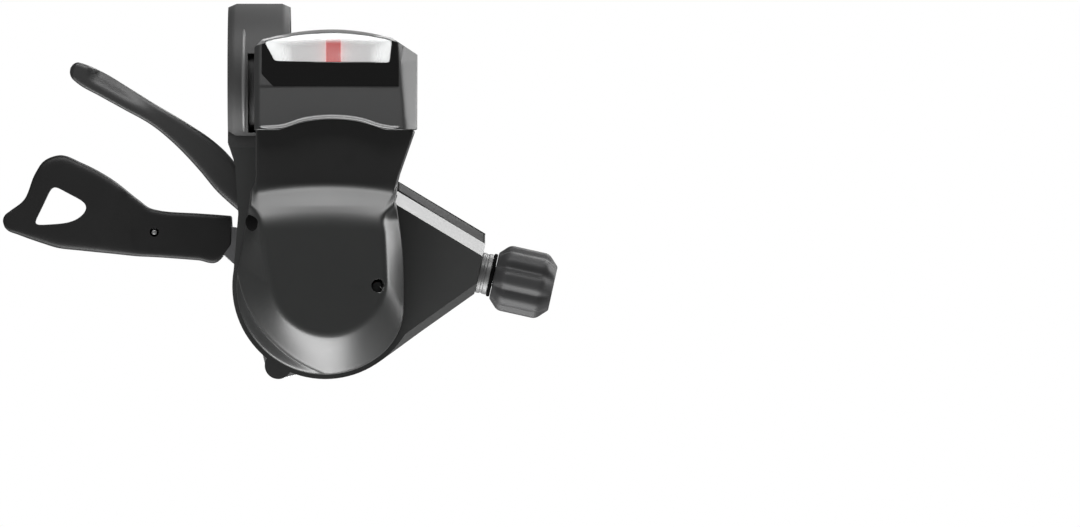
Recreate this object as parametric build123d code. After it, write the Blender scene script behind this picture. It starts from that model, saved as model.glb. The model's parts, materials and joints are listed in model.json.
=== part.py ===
from build123d import *
import os
from math import acos, atan2, cos, degrees, hypot, radians, sin, sqrt

# Flat-bar trigger gear shifter, left hand. All sizes are millimetres and degrees.
# X runs along the handlebar, Z is up in the front view, and Y points away from the
# viewer, so front faces have the lowest Y. The origin is the centre of the bar clamp.

# Handlebar clamp
BAR_R = 11.1
CLAMP_WALL = 2.9
CLAMP_WIDTH = 12.0
SPLIT_WIDTH = 2.4
RING_CHAMFER = 1.6
RING_CHAMFER_DEPTH = 0.7
GROOVE_LEFT_X = -2.1
GROOVE_DEPTH = 1.6
GROOVE_TOP_Z = 4.3
GROOVE_LOW_Z = -10.9
EAR_REACH = 9.0
EAR_THICKNESS = 5.3
EAR_ROUND = 2.5
CLAMP_BOLT_R = 2.5
CLAMP_HEAD_R = 4.2
CLAMP_HEAD_HEIGHT = 3.8
HEX_SOCKET_R = 2.3
HEX_SOCKET_DEPTH = 2.4
HEAD_CHAMFER = 0.4
CLAMP_NUT_R = 4.6
CLAMP_NUT_HEIGHT = 3.2

# Shared fits
RUNNING_CLEARANCE = 0.05
HOLE_CLEARANCE = 0.2
AXIAL_GAP = 0.3
SEAT_GAP = 0.1

# Mechanism axis, cable line and case
AXIS_X = 12.8
AXIS_Z = -39.0
CABLE_TILT = 12.5
CABLE_Y = 3.0
CABLE_HOLE_R = 1.3
CASE_SHIFT_X = -0.05
CASE_DROP = 1.4
CASE_R = 17.9
CASE_WALL = 1.9
PLATE_Y = -8.0
PLATE_THICKNESS = 2.5

# Web that carries the clamp ring, and shelf behind the gear display
WEB_DROP_RISE = 1.2
WEB_WAIST_X = -4.6
WEB_WAIST_RISE = 7.0
WEB_FOOT_X = -4.0
WEB_FOOT_DROP = 2.5
WEB_RIGHT_X = 9.0
WEB_DEPTH = 11.0
WEB_CASE_ANGLE = 10.0
SHELF_STANDOFF = 0.4
SHELF_THICKNESS = 2.3
SHELF_LEFT_X = 1.0
SHELF_RIGHT_X = 26.0
SHELF_TOP_Z = 7.0
SHELF_BEND_RISE = 5.5

# Wing that holds the cable adjuster
WING_ROOT_OUT = 9.2
WING_ROOT_RISE = 21.6
WING_TOP_OUT = 30.7
WING_TOP_RISE = 8.7
WING_END_RISE = 4.0
WING_END_DROP = 4.3
WING_KNEE_OUT = 2.6
WING_KNEE_ANGLE = -24.8
WING_STEP = 1.7
WING_FLANGE = 4.0
WING_BEVEL = 2.3
WING_BEVEL_DEPTH = 4.0
WING_LOWER_BEVEL = 1.4
WING_WALL = 2.2
ADJUSTER_BOSS_R = 4.4

# Lugs for the rear cover screws
LUG_R = 2.6
LOW_LUG_SETBACK = 0.1
LOW_LUG_ANGLE = 239.3
SIDE_LUG_OUT = 0.86
SIDE_LUG_ANGLE = -0.3

# Main cover: flat face, bevelled dome, skirt, shoulder and dished neck
FACE_FORWARD = 9.6
FACE_BEVEL = 5.4
FACE_SHIFT_X = 0.45
FACE_SHIFT_Z = 1.9
FACE_LEFT_FLARE = 1.45
FACE_RIGHT_TAPER = 0.9
FACE_TOP_DROP = 4.5
FACE_LEFT_ANGLE = 187.0
DOME_FORWARD = 1.6
COVER_SETBACK = 0.9
COVER_CORNER_INSET = 5.0
COVER_SIDE_SETBACK = 2.75
COVER_TOP_LEFT_SETBACK = 3.55
COVER_TOP_RIGHT_SETBACK = 4.35
COVER_TOP_SETBACK = 0.6
COVER_TOP_RISE = 2.1
COVER_LEFT_ANGLE = 165.0
COVER_WALL = 1.6
NECK_TOP_FORWARD = 6.6
NECK_OPENING = 6.4
NECK_SETBACK = 0.1
NECK_WAIST_FLARE = 0.9
NECK_WAIST_RISE = 4.8
VALLEY_FORWARD = 4.4
SHOULDER_FORWARD = 6.2
SHOULDER_RISE = 3.4
CREST_FORWARD = 8.7
CREST_DROP = 1.2
SHOULDER_END_DROP = 5.5

# Gear display: housing, window lens, dial and needle
HOUSING_LEFT_X = -0.6
HOUSING_RIGHT_X = 30.4
HOUSING_TOP_LEFT = (1.0, 6.9)
HOUSING_CROWN = (14.4, 8.7)
HOUSING_TOP_RIGHT = (25.5, 7.2)
HOUSING_SIDE_Z = 4.0
HOUSING_WALL = 1.5
HOUSING_SIDE_BEVEL = 3.0
HOUSING_SIDE_BEVEL_DEPTH = 4.0
HOUSING_LEFT_BEVEL = 0.8
LIP_Z = -10.4
LIP_FORWARD = 10.1
LIP_DEPTH = 2.9
ARCH_LEFT_X = 4.0
ARCH_RIGHT_X = 24.5
ARCH_Z = -8.3
HOUSING_FLOOR_Z = -7.9
WINDOW_LEFT_X = 2.3
WINDOW_RIGHT_X = 25.0
WINDOW_FLARE = 1.2
WINDOW_Z = 2.6
WINDOW_CORNER = 1.0
WINDOW_RIGHT_FLARE = 0.3
WINDOW_FORWARD = 7.8
CROWN_FORWARD = 5.6
CROWN_Z = 7.2
ROOF_FORWARD = 3.6
ROOF_BULGE = 0.2
LENS_THICKNESS = 1.1
DIAL_THICKNESS = 1.0
DIAL_FLOOR_Z = -0.6
NEEDLE_PIN_R = 1.2
NEEDLE_HUB_R = 2.6
NEEDLE_THICKNESS = 0.7
NEEDLE_TIP_X = 14.4
NEEDLE_TIP_Z = 7.0
NEEDLE_FLAG_WIDTH = 2.8
NEEDLE_FLAG_Z = 1.5
NEEDLE_STEM_WIDTH = 1.6
NEEDLE_FORK_REACH = 3.0
DRIVE_PIN_R = 1.0
FORK_CLEARANCE = 0.35
FORK_WALL = 1.2
NEEDLE_SLOT_HEIGHT = 6.0

# Spool, ratchet and indicator drive
SHAFT_R = 3.0
SHAFT_HEAD_R = 4.6
SHAFT_HEAD_HEIGHT = 1.4
SPOOL_R = 7.6
SPOOL_FLANGE_R = 9.2
SPOOL_FLANGE_THICKNESS = 1.2
SPOOL_GROOVE_WIDTH = 2.2
SPOOL_HUB_R = 5.4
SPOOL_HUB_STEP = 0.7
NIPPLE_POCKET_R = 2.2
NIPPLE_ANGLE = 155.0
RATCHET_R = 10.2
RATCHET_DEPTH = 1.5
RATCHET_TEETH = 18
RATCHET_THICKNESS = 2.0
DRIVE_ARM_THICKNESS = 1.4
DRIVE_ARM_WIDTH = 4.2
DRIVE_ARM_CLEARANCE = 1.0
SPOOL_SWING = 20.0
SPRING_TURNS = 3
SPRING_STRIP = 0.6
SPRING_PITCH = 1.5
SPRING_WIDTH = 2.4
SPACER_R = 5.0
SPOOL_SPACER_THICKNESS = 1.1

# Levers and pawls
BACK_PLATE_THICKNESS = 1.4
LEVER_THICKNESS = 2.0
LEVER_HUB_R = 6.4
LEVER_WIRE_R = 0.45
LEVER_COIL_R = 5.0
LEVER_COIL_TURNS = 2
LEVER_SPACER_THICKNESS = 1.1
MAIN_SWING = 28.0
PAWL_STANDOFF = 0.6
PAWL_PIN_R = 1.0
PAWL_HUB_R = 1.7
PAWL_NOSE_GAP = 0.4
PAWL_NOSE_WIDTH = 1.4
FEED_PAWL_ANGLE = 235.0
FEED_NOSE_LEAD = -22.0
HOLDING_PAWL_ANGLE = 300.0
HOLDING_NOSE_LEAD = -24.0
PAWL_SLOT_CLEARANCE = 0.4
SHAFT_WASHER_R = 5.6
SHAFT_WASHER_THICKNESS = 0.9
SHAFT_NUT_R = 5.2
SHAFT_NUT_HEIGHT = 2.8
RELEASE_BLADE_FRONT = 1.6
RELEASE_BLADE_BACK = 0.6
PADDLE_FRONT = 0.3
PADDLE_BACK = 4.0
RIVET_X = -33.4
RIVET_RISE = 9.0
RIVET_R = 1.0

# Lever outlines, counted from the mechanism axis
BLADE_TOP_EDGE = ((-48.0, 41.9), (-40.8, 38.4), (-28.8, 31.2), (-17.9, 23.0))
BLADE_LOW_EDGE = ((-16.5, 12.7), (-23.4, 19.8), (-31.2, 27.9), (-42.5, 34.9), (-49.4, 38.8))
BLADE_TIP = (-49.7, 40.4)
RELEASE_ARM_TIP = ((-18.0, 21.0), (-27.8, 29.4), (-29.0, 27.4), (-17.2, 14.8))
RELEASE_ARM_LOW_ANGLE = 200.0
LEVER_ARM_TOP_ANGLE = 80.0
PADDLE_TOP_EDGE = ((-33.8, 13.0), (-40.7, 18.6), (-49.0, 23.2))
PADDLE_THUMB_EDGE = ((-54.4, 23.1), (-57.0, 18.6), (-59.4, 14.6), (-63.0, 11.5), (-59.2, 8.2))
PADDLE_LOW_EDGE = ((-51.3, 5.9), (-39.7, 4.8), (-26.5, 3.6), (-21.0, 3.4))
PADDLE_SHANK = ((-18.2, 6.9), (-18.4, 11.7), (-29.7, 12.7))
PADDLE_HOLE = ((-52.6, 18.2), (-44.4, 12.6), (-57.2, 9.5))
PADDLE_HOLE_ROUND = 1.1
PADDLE_BEND_X = -38.0
PADDLE_TIP_X = -64.0
PADDLE_SWEEP = 2.2
MAIN_ARM_TIP = ((-17.8, 10.0), (-35.2, 11.0), (-35.2, 7.2), (-19.8, 4.4), (-17.8, 2.6))
MAIN_ARM_LOW_ANGLE = 250.0

# Rear cover
REAR_SETBACK = 2.0
REAR_WALL = 1.5
REAR_ROUND = 3.0
REAR_OPENING_FROM = 106.0
REAR_OPENING_TO = 190.0
REAR_LUG_HEIGHT = 2.6

# Screws
SCREW_R = 0.95
SCREW_HEAD_R = 1.8
SCREW_HEAD_HEIGHT = 1.2
SCREW_LENGTH = 7.0
INDICATOR_SCREW_Z = -3.8
COVER_SCREW_INSET = 1.0
COVER_SCREW_DROP = 2.1
COVER_SCREW_HEAD_R = 1.1
COVER_SCREW_SINK = 4.0
COVER_BOSS_R = 2.5

# Cable entry plug and cable adjuster
PLUG_R = 1.5
PLUG_HEAD_R = 2.0
PLUG_HEAD_HEIGHT = 1.4
PLUG_SINK = 0.6
PLUG_LENGTH = 2.2
ENTRY_NOTCH_R = 1.5
ENTRY_NOTCH_REACH = 8.0
ENTRY_SIGHT_SETBACK = 1.4
COLLAR_START = 28.5
COLLAR_LENGTH = 2.5
COLLAR_R = 3.8
BUSH_R = 2.9
BUSH_DEPTH = 7.0
ADJUSTER_BOLT_R = 2.0
ADJUSTER_HEAD_R = 3.6
KNOB_GAP = 0.5
KNOB_R = 6.4
KNOB_LENGTH = 11.6
KNOB_LIP = 0.4
KNOB_CHAMFER = 1.9
KNOB_FLUTES = 8
KNOB_FLUTE_R = 1.5
KNOB_FLUTE_DEPTH = 0.6
SOCKET_R = 2.6
SOCKET_DEPTH = 7.0

# Front forms, each a set distance in front of the shelf that clears the clamp ring
RING_R = BAR_R + CLAMP_WALL
SHELF_Y = -RING_R - SHELF_STANDOFF
LIP_Y = SHELF_Y - LIP_FORWARD
WINDOW_Y = SHELF_Y - WINDOW_FORWARD
CROWN_Y = SHELF_Y - CROWN_FORWARD
ROOF_Y = SHELF_Y - ROOF_FORWARD
FACE_Y = SHELF_Y - FACE_FORWARD
DOME_Y = SHELF_Y - DOME_FORWARD
NECK_TOP_Y = SHELF_Y - NECK_TOP_FORWARD
VALLEY_Y = SHELF_Y - VALLEY_FORWARD
SHOULDER_Y = SHELF_Y - SHOULDER_FORWARD
CREST_Y = SHELF_Y - CREST_FORWARD

# Outlines that follow the mechanism axis, the case circle and the display
CASE_X = AXIS_X + CASE_SHIFT_X
CASE_Z = AXIS_Z - CASE_DROP
WING_ROOT = (AXIS_X + WING_ROOT_OUT, AXIS_Z + WING_ROOT_RISE)
WING_TOP = (AXIS_X + WING_TOP_OUT, AXIS_Z + WING_TOP_RISE)
COVER_R = CASE_R - COVER_SETBACK
COVER_CORNER_R = COVER_R - COVER_CORNER_INSET
COVER_SIDE_X = CASE_X + CASE_R - COVER_SIDE_SETBACK
COVER_TOP_LEFT_X = CASE_X - CASE_R + COVER_TOP_LEFT_SETBACK
COVER_TOP_RIGHT_X = CASE_X + CASE_R - COVER_TOP_RIGHT_SETBACK
COVER_TOP_Z = CASE_Z + COVER_R - COVER_TOP_SETBACK
FACE_R = COVER_R - FACE_BEVEL
FACE_X = CASE_X + FACE_SHIFT_X
FACE_Z = CASE_Z + FACE_SHIFT_Z
FACE_LEFT_X = FACE_X - FACE_R - FACE_LEFT_FLARE
FACE_RIGHT_X = FACE_X + FACE_R - FACE_RIGHT_TAPER
FACE_TOP_Z = COVER_TOP_Z - FACE_TOP_DROP
SHOULDER_Z = COVER_TOP_Z + SHOULDER_RISE
CREST_Z = COVER_TOP_Z - CREST_DROP
SHOULDER_END_Z = COVER_TOP_Z - SHOULDER_END_DROP
NECK_TOP_Z = HOUSING_FLOOR_Z - SEAT_GAP
VALLEY_Z = (NECK_TOP_Z + SHOULDER_Z) / 2
NECK_LEFT_X = HOUSING_LEFT_X + NECK_SETBACK
NECK_RIGHT_X = HOUSING_RIGHT_X - NECK_SETBACK
NECK_WAIST_X = COVER_TOP_RIGHT_X + NECK_WAIST_FLARE
NECK_WAIST_Z = COVER_TOP_Z + NECK_WAIST_RISE
WEB_DROP_Z = WEB_DROP_RISE - RING_R
WEB_WAIST_Z = COVER_TOP_Z + WEB_WAIST_RISE
WEB_FOOT_Z = COVER_TOP_Z - WEB_FOOT_DROP
SHELF_FOOT_Z = COVER_TOP_Z
SHELF_BEND_Z = SHELF_FOOT_Z + SHELF_BEND_RISE
COVER_SCREW_X = FACE_RIGHT_X - COVER_SCREW_INSET
COVER_SCREW_Z = FACE_Z - COVER_SCREW_DROP
REAR_R = CASE_R - REAR_SETBACK

# Places that follow from the stack on the shaft
PLATE_BACK_Y = PLATE_Y + PLATE_THICKNESS
SPRING_Y = PLATE_BACK_Y + AXIAL_GAP
DRIVE_ARM_Y = SPRING_Y + SPRING_WIDTH + AXIAL_GAP
SPOOL_Y = DRIVE_ARM_Y + DRIVE_ARM_THICKNESS
GROOVE_Y = CABLE_Y - SPOOL_GROOVE_WIDTH / 2
FLANGE_BACK_Y = CABLE_Y + SPOOL_GROOVE_WIDTH / 2 + SPOOL_FLANGE_THICKNESS
RATCHET_Y = FLANGE_BACK_Y + SPOOL_HUB_STEP
RATCHET_BACK_Y = RATCHET_Y + RATCHET_THICKNESS
CASE_BACK_Y = RATCHET_BACK_Y + SPOOL_SPACER_THICKNESS + AXIAL_GAP
REAR_Y = CASE_BACK_Y + BACK_PLATE_THICKNESS
COIL_HEIGHT = 2 * LEVER_WIRE_R * (LEVER_COIL_TURNS + 1)
RELEASE_Y = REAR_Y + COIL_HEIGHT + AXIAL_GAP
RELEASE_BACK_Y = RELEASE_Y + LEVER_THICKNESS
MAIN_Y = RELEASE_BACK_Y + LEVER_SPACER_THICKNESS + AXIAL_GAP
MAIN_BACK_Y = MAIN_Y + LEVER_THICKNESS
WASHER_Y = MAIN_BACK_Y + COIL_HEIGHT + AXIAL_GAP
NUT_Y = WASHER_Y + SHAFT_WASHER_THICKNESS
NUT_BACK_Y = NUT_Y + SHAFT_NUT_HEIGHT
REAR_BACK_Y = NUT_BACK_Y + AXIAL_GAP + REAR_WALL
NEEDLE_Y = SHELF_Y - DIAL_THICKNESS - AXIAL_GAP - NEEDLE_THICKNESS
DRIVE_R = CASE_Z + CASE_R - CASE_WALL - AXIS_Z - DRIVE_ARM_WIDTH / 2 - DRIVE_ARM_CLEARANCE
NEEDLE_PIVOT_Z = AXIS_Z + 2 * DRIVE_R
PAWL_ORBIT_R = RATCHET_R + PAWL_NOSE_GAP + PAWL_HUB_R + PAWL_STANDOFF
KNOB_START = COLLAR_START + COLLAR_LENGTH + KNOB_GAP
KNOB_END = KNOB_START + KNOB_LENGTH
EAR_Y = RING_R + EAR_REACH / 2
EAR_TOP_Z = SPLIT_WIDTH / 2 + EAR_THICKNESS


# Helpers

def front(y):
    return Plane.XZ.offset(-y)


def slab(outline, y_front, y_back):
    return extrude(front(y_back) * outline, amount=y_back - y_front)


def disc(radius, place, y_front, y_back):
    return slab(Pos(*place) * Circle(radius), y_front, y_back)


def hexagon(radius, place, y_front, y_back):
    return slab(Pos(*place) * RegularPolygon(radius, 6), y_front, y_back)


def polygon(*points):
    return make_face(Polyline(*points, close=True))


def around(radius, angle):
    return (AXIS_X + radius * cos(radians(angle)), AXIS_Z + radius * sin(radians(angle)))


def axis_place():
    return (AXIS_X, AXIS_Z)


def from_axis(points):
    return [(AXIS_X + x, AXIS_Z + z) for x, z in points]


def rivet_place():
    return (AXIS_X + RIVET_X, AXIS_Z + RIVET_RISE)


def case_place(radius, angle):
    return (CASE_X + radius * cos(radians(angle)), CASE_Z + radius * sin(radians(angle)))


def case_circle(radius):
    return Pos(CASE_X, CASE_Z) * Circle(radius)


# The cable line touches the spool groove and runs out through the adjuster.
# Distances along it start where it touches the groove.

def cable_point(distance, rise):
    tilt = radians(CABLE_TILT)
    x = AXIS_X + (SPOOL_R + rise) * sin(tilt) + distance * cos(tilt)
    z = AXIS_Z + (SPOOL_R + rise) * cos(tilt) - distance * sin(tilt)
    return (x, z)


def cable_plane(distance):
    tilt = radians(CABLE_TILT)
    x, z = cable_point(distance, 0)
    return Plane(origin=(x, CABLE_Y, z), x_dir=(0, 1, 0), z_dir=(cos(tilt), 0, -sin(tilt)))


def cable_rod(radius, start, end):
    return extrude(cable_plane(start) * Circle(radius), amount=end - start)


def case_exit():
    # Distance along the cable line, back from the groove, to the outside of the case wall.
    plane = cable_plane(0)
    along = (plane.origin.X - CASE_X) * plane.z_dir.X + (plane.origin.Z - CASE_Z) * plane.z_dir.Z
    across = hypot(plane.origin.X - CASE_X, plane.origin.Z - CASE_Z) ** 2 - along ** 2
    return -along - sqrt(CASE_R ** 2 - across)


def plug_seat():
    return case_exit() + PLUG_SINK


def entry_notch():
    # Gap before the cable entry behind the front plate, open to the left.
    half = PLUG_HEAD_R + HOLE_CLEARANCE
    far = plug_seat() - ENTRY_NOTCH_REACH
    outline = polygon(
        cable_point(plug_seat(), half),
        cable_point(plug_seat(), -half),
        cable_point(far, -half),
        cable_point(far, half),
    )
    return slab(outline, PLATE_BACK_Y, CABLE_Y + half)


# Bracket

def wing_knee():
    return case_place(CASE_R + WING_KNEE_OUT, WING_KNEE_ANGLE)


def wing_tangent():
    # Touching point of the wing's lower edge on the case circle.
    turn = acos(CASE_R / (CASE_R + WING_KNEE_OUT))
    return case_place(CASE_R, WING_KNEE_ANGLE - degrees(turn))


def wing_heel():
    return cable_point(COLLAR_START, -WING_END_DROP)


def wing_outline(step):
    # The step lowers the top edge of the front layer below the rear flange.
    slope = atan2(WING_ROOT[1] - WING_TOP[1], WING_TOP[0] - WING_ROOT[0])
    drop = step / cos(slope)
    return polygon(
        (WING_ROOT[0], WING_ROOT[1] - drop),
        (WING_TOP[0], WING_TOP[1] - drop),
        cable_point(COLLAR_START, WING_END_RISE),
        wing_heel(),
        wing_knee(),
        wing_tangent(),
        (CASE_X, CASE_Z),
    )


def edge_between(body, start, end):
    # Edge of the front face whose middle lies nearest to the middle of two corners.
    middle = Vector((start[0] + end[0]) / 2, PLATE_Y, (start[1] + end[1]) / 2)
    return min(body.edges(), key=lambda edge: (edge.center() - middle).length)


def wing():
    split_y = CASE_BACK_Y - WING_FLANGE
    layer = slab(wing_outline(WING_STEP), PLATE_Y, split_y)
    top_edge = edge_between(layer, WING_ROOT, WING_TOP)
    front = layer.faces().sort_by(Axis.Y)[0]
    layer = chamfer(top_edge, WING_BEVEL, WING_BEVEL_DEPTH, reference=front)
    heel_edge = edge_between(layer, wing_heel(), wing_knee())
    knee_edge = edge_between(layer, wing_knee(), wing_tangent())
    layer = chamfer([heel_edge, knee_edge], WING_LOWER_BEVEL)
    flange = slab(wing_outline(0), split_y, CASE_BACK_Y)
    pocket_outline = offset(wing_outline(WING_STEP), -WING_WALL) - case_circle(CASE_R)
    pocket = slab(pocket_outline, PLATE_BACK_Y + WING_BEVEL_DEPTH, CASE_BACK_Y)
    boss = cable_rod(ADJUSTER_BOSS_R, 0, COLLAR_START)
    lug = disc(LUG_R, side_lug(), PLATE_Y, CASE_BACK_Y)
    return layer + flange - (pocket - boss - lug)


def clamp_ring():
    half = CLAMP_WIDTH / 2
    ring = extrude(Plane.YZ * Circle(RING_R), amount=half, both=True)
    for end in (0, -1):
        rim = ring.edges().filter_by(GeomType.CIRCLE).sort_by(Axis.X)[end]
        side = ring.faces().filter_by(GeomType.PLANE).sort_by(Axis.X)[end]
        ring = chamfer(rim, RING_CHAMFER_DEPTH, RING_CHAMFER, reference=side)
    ear_outline = Pos(RING_R + EAR_REACH / 2 - BAR_R / 2, 0) * RectangleRounded(
        EAR_REACH + BAR_R, 2 * EAR_TOP_Z, EAR_ROUND)
    return ring + extrude(Plane.YZ * ear_outline, amount=half, both=True)


def ring_groove():
    # Shadow gap in the front of the ring, beside the display.
    band = Circle(RING_R) - Circle(RING_R - GROOVE_DEPTH)
    height = GROOVE_TOP_Z - GROOVE_LOW_Z
    window = Pos(-RING_R / 2, GROOVE_LOW_Z + height / 2) * Rectangle(RING_R, height)
    width = HOUSING_LEFT_X - GROOVE_LEFT_X
    return extrude(Plane.YZ.offset(GROOVE_LEFT_X) * (band & window), amount=width)


def web():
    outline = polygon(
        (-CLAMP_WIDTH / 2, 0),
        (-CLAMP_WIDTH / 2, WEB_DROP_Z),
        (WEB_WAIST_X, WEB_WAIST_Z),
        (WEB_FOOT_X, WEB_FOOT_Z),
        case_place(CASE_R, 180 - WEB_CASE_ANGLE),
        (CASE_X, CASE_Z),
        (WEB_RIGHT_X, WEB_FOOT_Z),
        (WEB_RIGHT_X, -RING_R),
        (CLAMP_WIDTH / 2, -RING_R),
        (CLAMP_WIDTH / 2, 0),
    )
    return slab(outline, PLATE_Y, PLATE_Y + WEB_DEPTH)


def shelf():
    back = SHELF_Y + SHELF_THICKNESS
    profile = polygon(
        (SHELF_Y, SHELF_TOP_Z),
        (back, SHELF_TOP_Z),
        (back, SHELF_BEND_Z + SHELF_THICKNESS / 2),
        (PLATE_BACK_Y, SHELF_FOOT_Z + SHELF_THICKNESS / 2),
        (PLATE_BACK_Y, CASE_Z),
        (PLATE_Y, CASE_Z),
        (PLATE_Y, SHELF_FOOT_Z),
        (SHELF_Y, SHELF_BEND_Z),
    )
    wall = extrude(Plane.YZ.offset(SHELF_LEFT_X) * profile, amount=SHELF_RIGHT_X - SHELF_LEFT_X)
    return wall & slab(offset(housing_outline(tail=True), -SEAT_GAP), SHELF_Y, PLATE_BACK_Y)


def base_bracket():
    case_inner = case_circle(CASE_R - CASE_WALL)
    body = disc(CASE_R, (CASE_X, CASE_Z), PLATE_Y, CASE_BACK_Y)
    body += wing() + web() + shelf() + clamp_ring()
    body += disc(LUG_R, low_lug(), PLATE_BACK_Y, CASE_BACK_Y)
    body -= slab(case_inner, PLATE_BACK_Y, CASE_BACK_Y)
    body -= extrude(Plane.YZ * Circle(BAR_R), amount=CLAMP_WIDTH, both=True)
    body -= ring_groove()
    split = Pos(RING_R, 0) * Rectangle(2 * EAR_REACH + BAR_R, SPLIT_WIDTH)
    body -= extrude(Plane.YZ * split, amount=CLAMP_WIDTH, both=True)
    bolt_hole = Plane.XY * Pos(0, EAR_Y) * Circle(CLAMP_BOLT_R + HOLE_CLEARANCE)
    body -= extrude(bolt_hole, amount=RING_R, both=True)
    body -= disc(SHAFT_R + RUNNING_CLEARANCE, axis_place(), PLATE_Y, PLATE_BACK_Y)
    body -= disc(SCREW_R + RUNNING_CLEARANCE, (COVER_SCREW_X, COVER_SCREW_Z), PLATE_Y, PLATE_BACK_Y)
    reach = SPOOL_SWING + degrees(FORK_CLEARANCE / DRIVE_R)
    slot_arc = CenterArc(axis_place(), DRIVE_R, 90 - reach, 2 * reach)
    body -= slab(SlotArc(slot_arc, 2 * (DRIVE_PIN_R + FORK_CLEARANCE)), PLATE_Y, PLATE_BACK_Y)
    body -= cable_rod(PLUG_R + RUNNING_CLEARANCE, plug_seat(), 0)
    body -= entry_notch()
    body -= cable_rod(CABLE_HOLE_R, 0, COLLAR_START)
    body -= cable_rod(BUSH_R + RUNNING_CLEARANCE, COLLAR_START - BUSH_DEPTH, COLLAR_START + LUG_R)
    for place in lug_places():
        body -= disc(SCREW_R + RUNNING_CLEARANCE, place, REAR_Y - SCREW_LENGTH, CASE_BACK_Y)
    shelf_back = SHELF_Y + SHELF_THICKNESS
    head_y = shelf_back - SCREW_HEAD_HEIGHT
    body -= disc(SCREW_R + RUNNING_CLEARANCE, indicator_screw_place(), SHELF_Y, shelf_back)
    body -= disc(SCREW_HEAD_R + HOLE_CLEARANCE, indicator_screw_place(), head_y, shelf_back)
    pivot = (AXIS_X, NEEDLE_PIVOT_Z)
    return body + disc(NEEDLE_PIN_R, pivot, NEEDLE_Y - SEAT_GAP, SHELF_Y)


def clamp_bolt():
    foot_z = -EAR_TOP_Z - CLAMP_NUT_HEIGHT
    place = Pos(0, EAR_Y, EAR_TOP_Z)
    head = place * extrude(Circle(CLAMP_HEAD_R), amount=CLAMP_HEAD_HEIGHT)
    head = chamfer(head.edges().sort_by(Axis.Z)[-1], HEAD_CHAMFER)
    top = Pos(0, EAR_Y, EAR_TOP_Z + CLAMP_HEAD_HEIGHT)
    socket = top * extrude(RegularPolygon(HEX_SOCKET_R, 6), amount=-HEX_SOCKET_DEPTH)
    shank = place * extrude(Circle(CLAMP_BOLT_R), amount=foot_z - EAR_TOP_Z)
    return head - socket + shank


def clamp_nut():
    place = Pos(0, EAR_Y, -EAR_TOP_Z)
    body = place * extrude(RegularPolygon(CLAMP_NUT_R, 6), amount=-CLAMP_NUT_HEIGHT)
    return body - place * extrude(Circle(CLAMP_BOLT_R + RUNNING_CLEARANCE), amount=-CLAMP_NUT_HEIGHT)


# Main cover

def dome_outline(inset):
    corner_x = COVER_SIDE_X - COVER_CORNER_R
    corner_z = CASE_Z - sqrt((COVER_R - COVER_CORNER_R) ** 2 - (corner_x - CASE_X) ** 2)
    join = degrees(atan2(corner_z - CASE_Z, corner_x - CASE_X))
    corner = CenterArc((corner_x, corner_z), COVER_CORNER_R - inset, 0, join)
    sweep_angle = COVER_LEFT_ANGLE - 360 - join
    bottom = CenterArc((CASE_X, CASE_Z), COVER_R - inset, join, sweep_angle)
    left_top = (COVER_TOP_LEFT_X + inset, COVER_TOP_Z - inset)
    right_top = (COVER_TOP_RIGHT_X - inset, COVER_TOP_Z - inset)
    rest = Polyline(bottom @ 1, left_top, right_top, corner @ 0)
    return make_face([corner, bottom] + rest.edges())


def face_outline(inset):
    corner_x = COVER_SIDE_X - COVER_CORNER_R
    corner_z = CASE_Z - sqrt((COVER_R - COVER_CORNER_R) ** 2 - (corner_x - CASE_X) ** 2)
    join = degrees(atan2(corner_z - CASE_Z, corner_x - CASE_X))
    corner = CenterArc((FACE_X, FACE_Z), FACE_R - inset, 0, join)
    bottom = CenterArc((FACE_X, FACE_Z), FACE_R - inset, join, FACE_LEFT_ANGLE - 360 - join)
    left_top = (FACE_LEFT_X + inset, FACE_TOP_Z - inset)
    right_top = (FACE_RIGHT_X - inset, FACE_TOP_Z - inset)
    rest = Polyline(bottom @ 1, left_top, right_top, corner @ 0)
    return make_face([corner, bottom] + rest.edges())


def neck_profile(inset):
    # Side view as (Y, Z): dished valley below the display, then the shoulder up to the face.
    valley = ThreePointArc(
        (NECK_TOP_Y + inset, NECK_TOP_Z),
        (VALLEY_Y + inset, VALLEY_Z),
        (SHOULDER_Y + inset, SHOULDER_Z - inset / 2),
    )
    shoulder = ThreePointArc(
        valley @ 1,
        (CREST_Y + inset, CREST_Z - inset / 2),
        (FACE_Y + inset, SHOULDER_END_Z - inset / 2),
    )
    shelf_y = SHELF_Y - SEAT_GAP
    back = Polyline(
        shoulder @ 1,
        (PLATE_Y, SHOULDER_END_Z - inset / 2),
        (PLATE_Y, SHELF_FOOT_Z - SEAT_GAP),
        (shelf_y, SHELF_BEND_Z - SEAT_GAP),
        (shelf_y, NECK_TOP_Z),
        valley @ 0,
    )
    return make_face([valley, shoulder] + back.edges())


def neck_outline(inset):
    outline = polygon(
        (NECK_LEFT_X, NECK_TOP_Z),
        (NECK_LEFT_X, SHOULDER_Z),
        (COVER_TOP_LEFT_X, COVER_TOP_Z + COVER_TOP_RISE),
        (COVER_TOP_LEFT_X, COVER_TOP_Z),
        (FACE_LEFT_X, SHOULDER_END_Z),
        (FACE_RIGHT_X, SHOULDER_END_Z),
        (COVER_TOP_RIGHT_X, COVER_TOP_Z),
        (NECK_WAIST_X, NECK_WAIST_Z),
        (NECK_RIGHT_X, LIP_Z),
        (NECK_RIGHT_X, NECK_TOP_Z),
    )
    return offset(outline, -inset) if inset else outline


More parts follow.
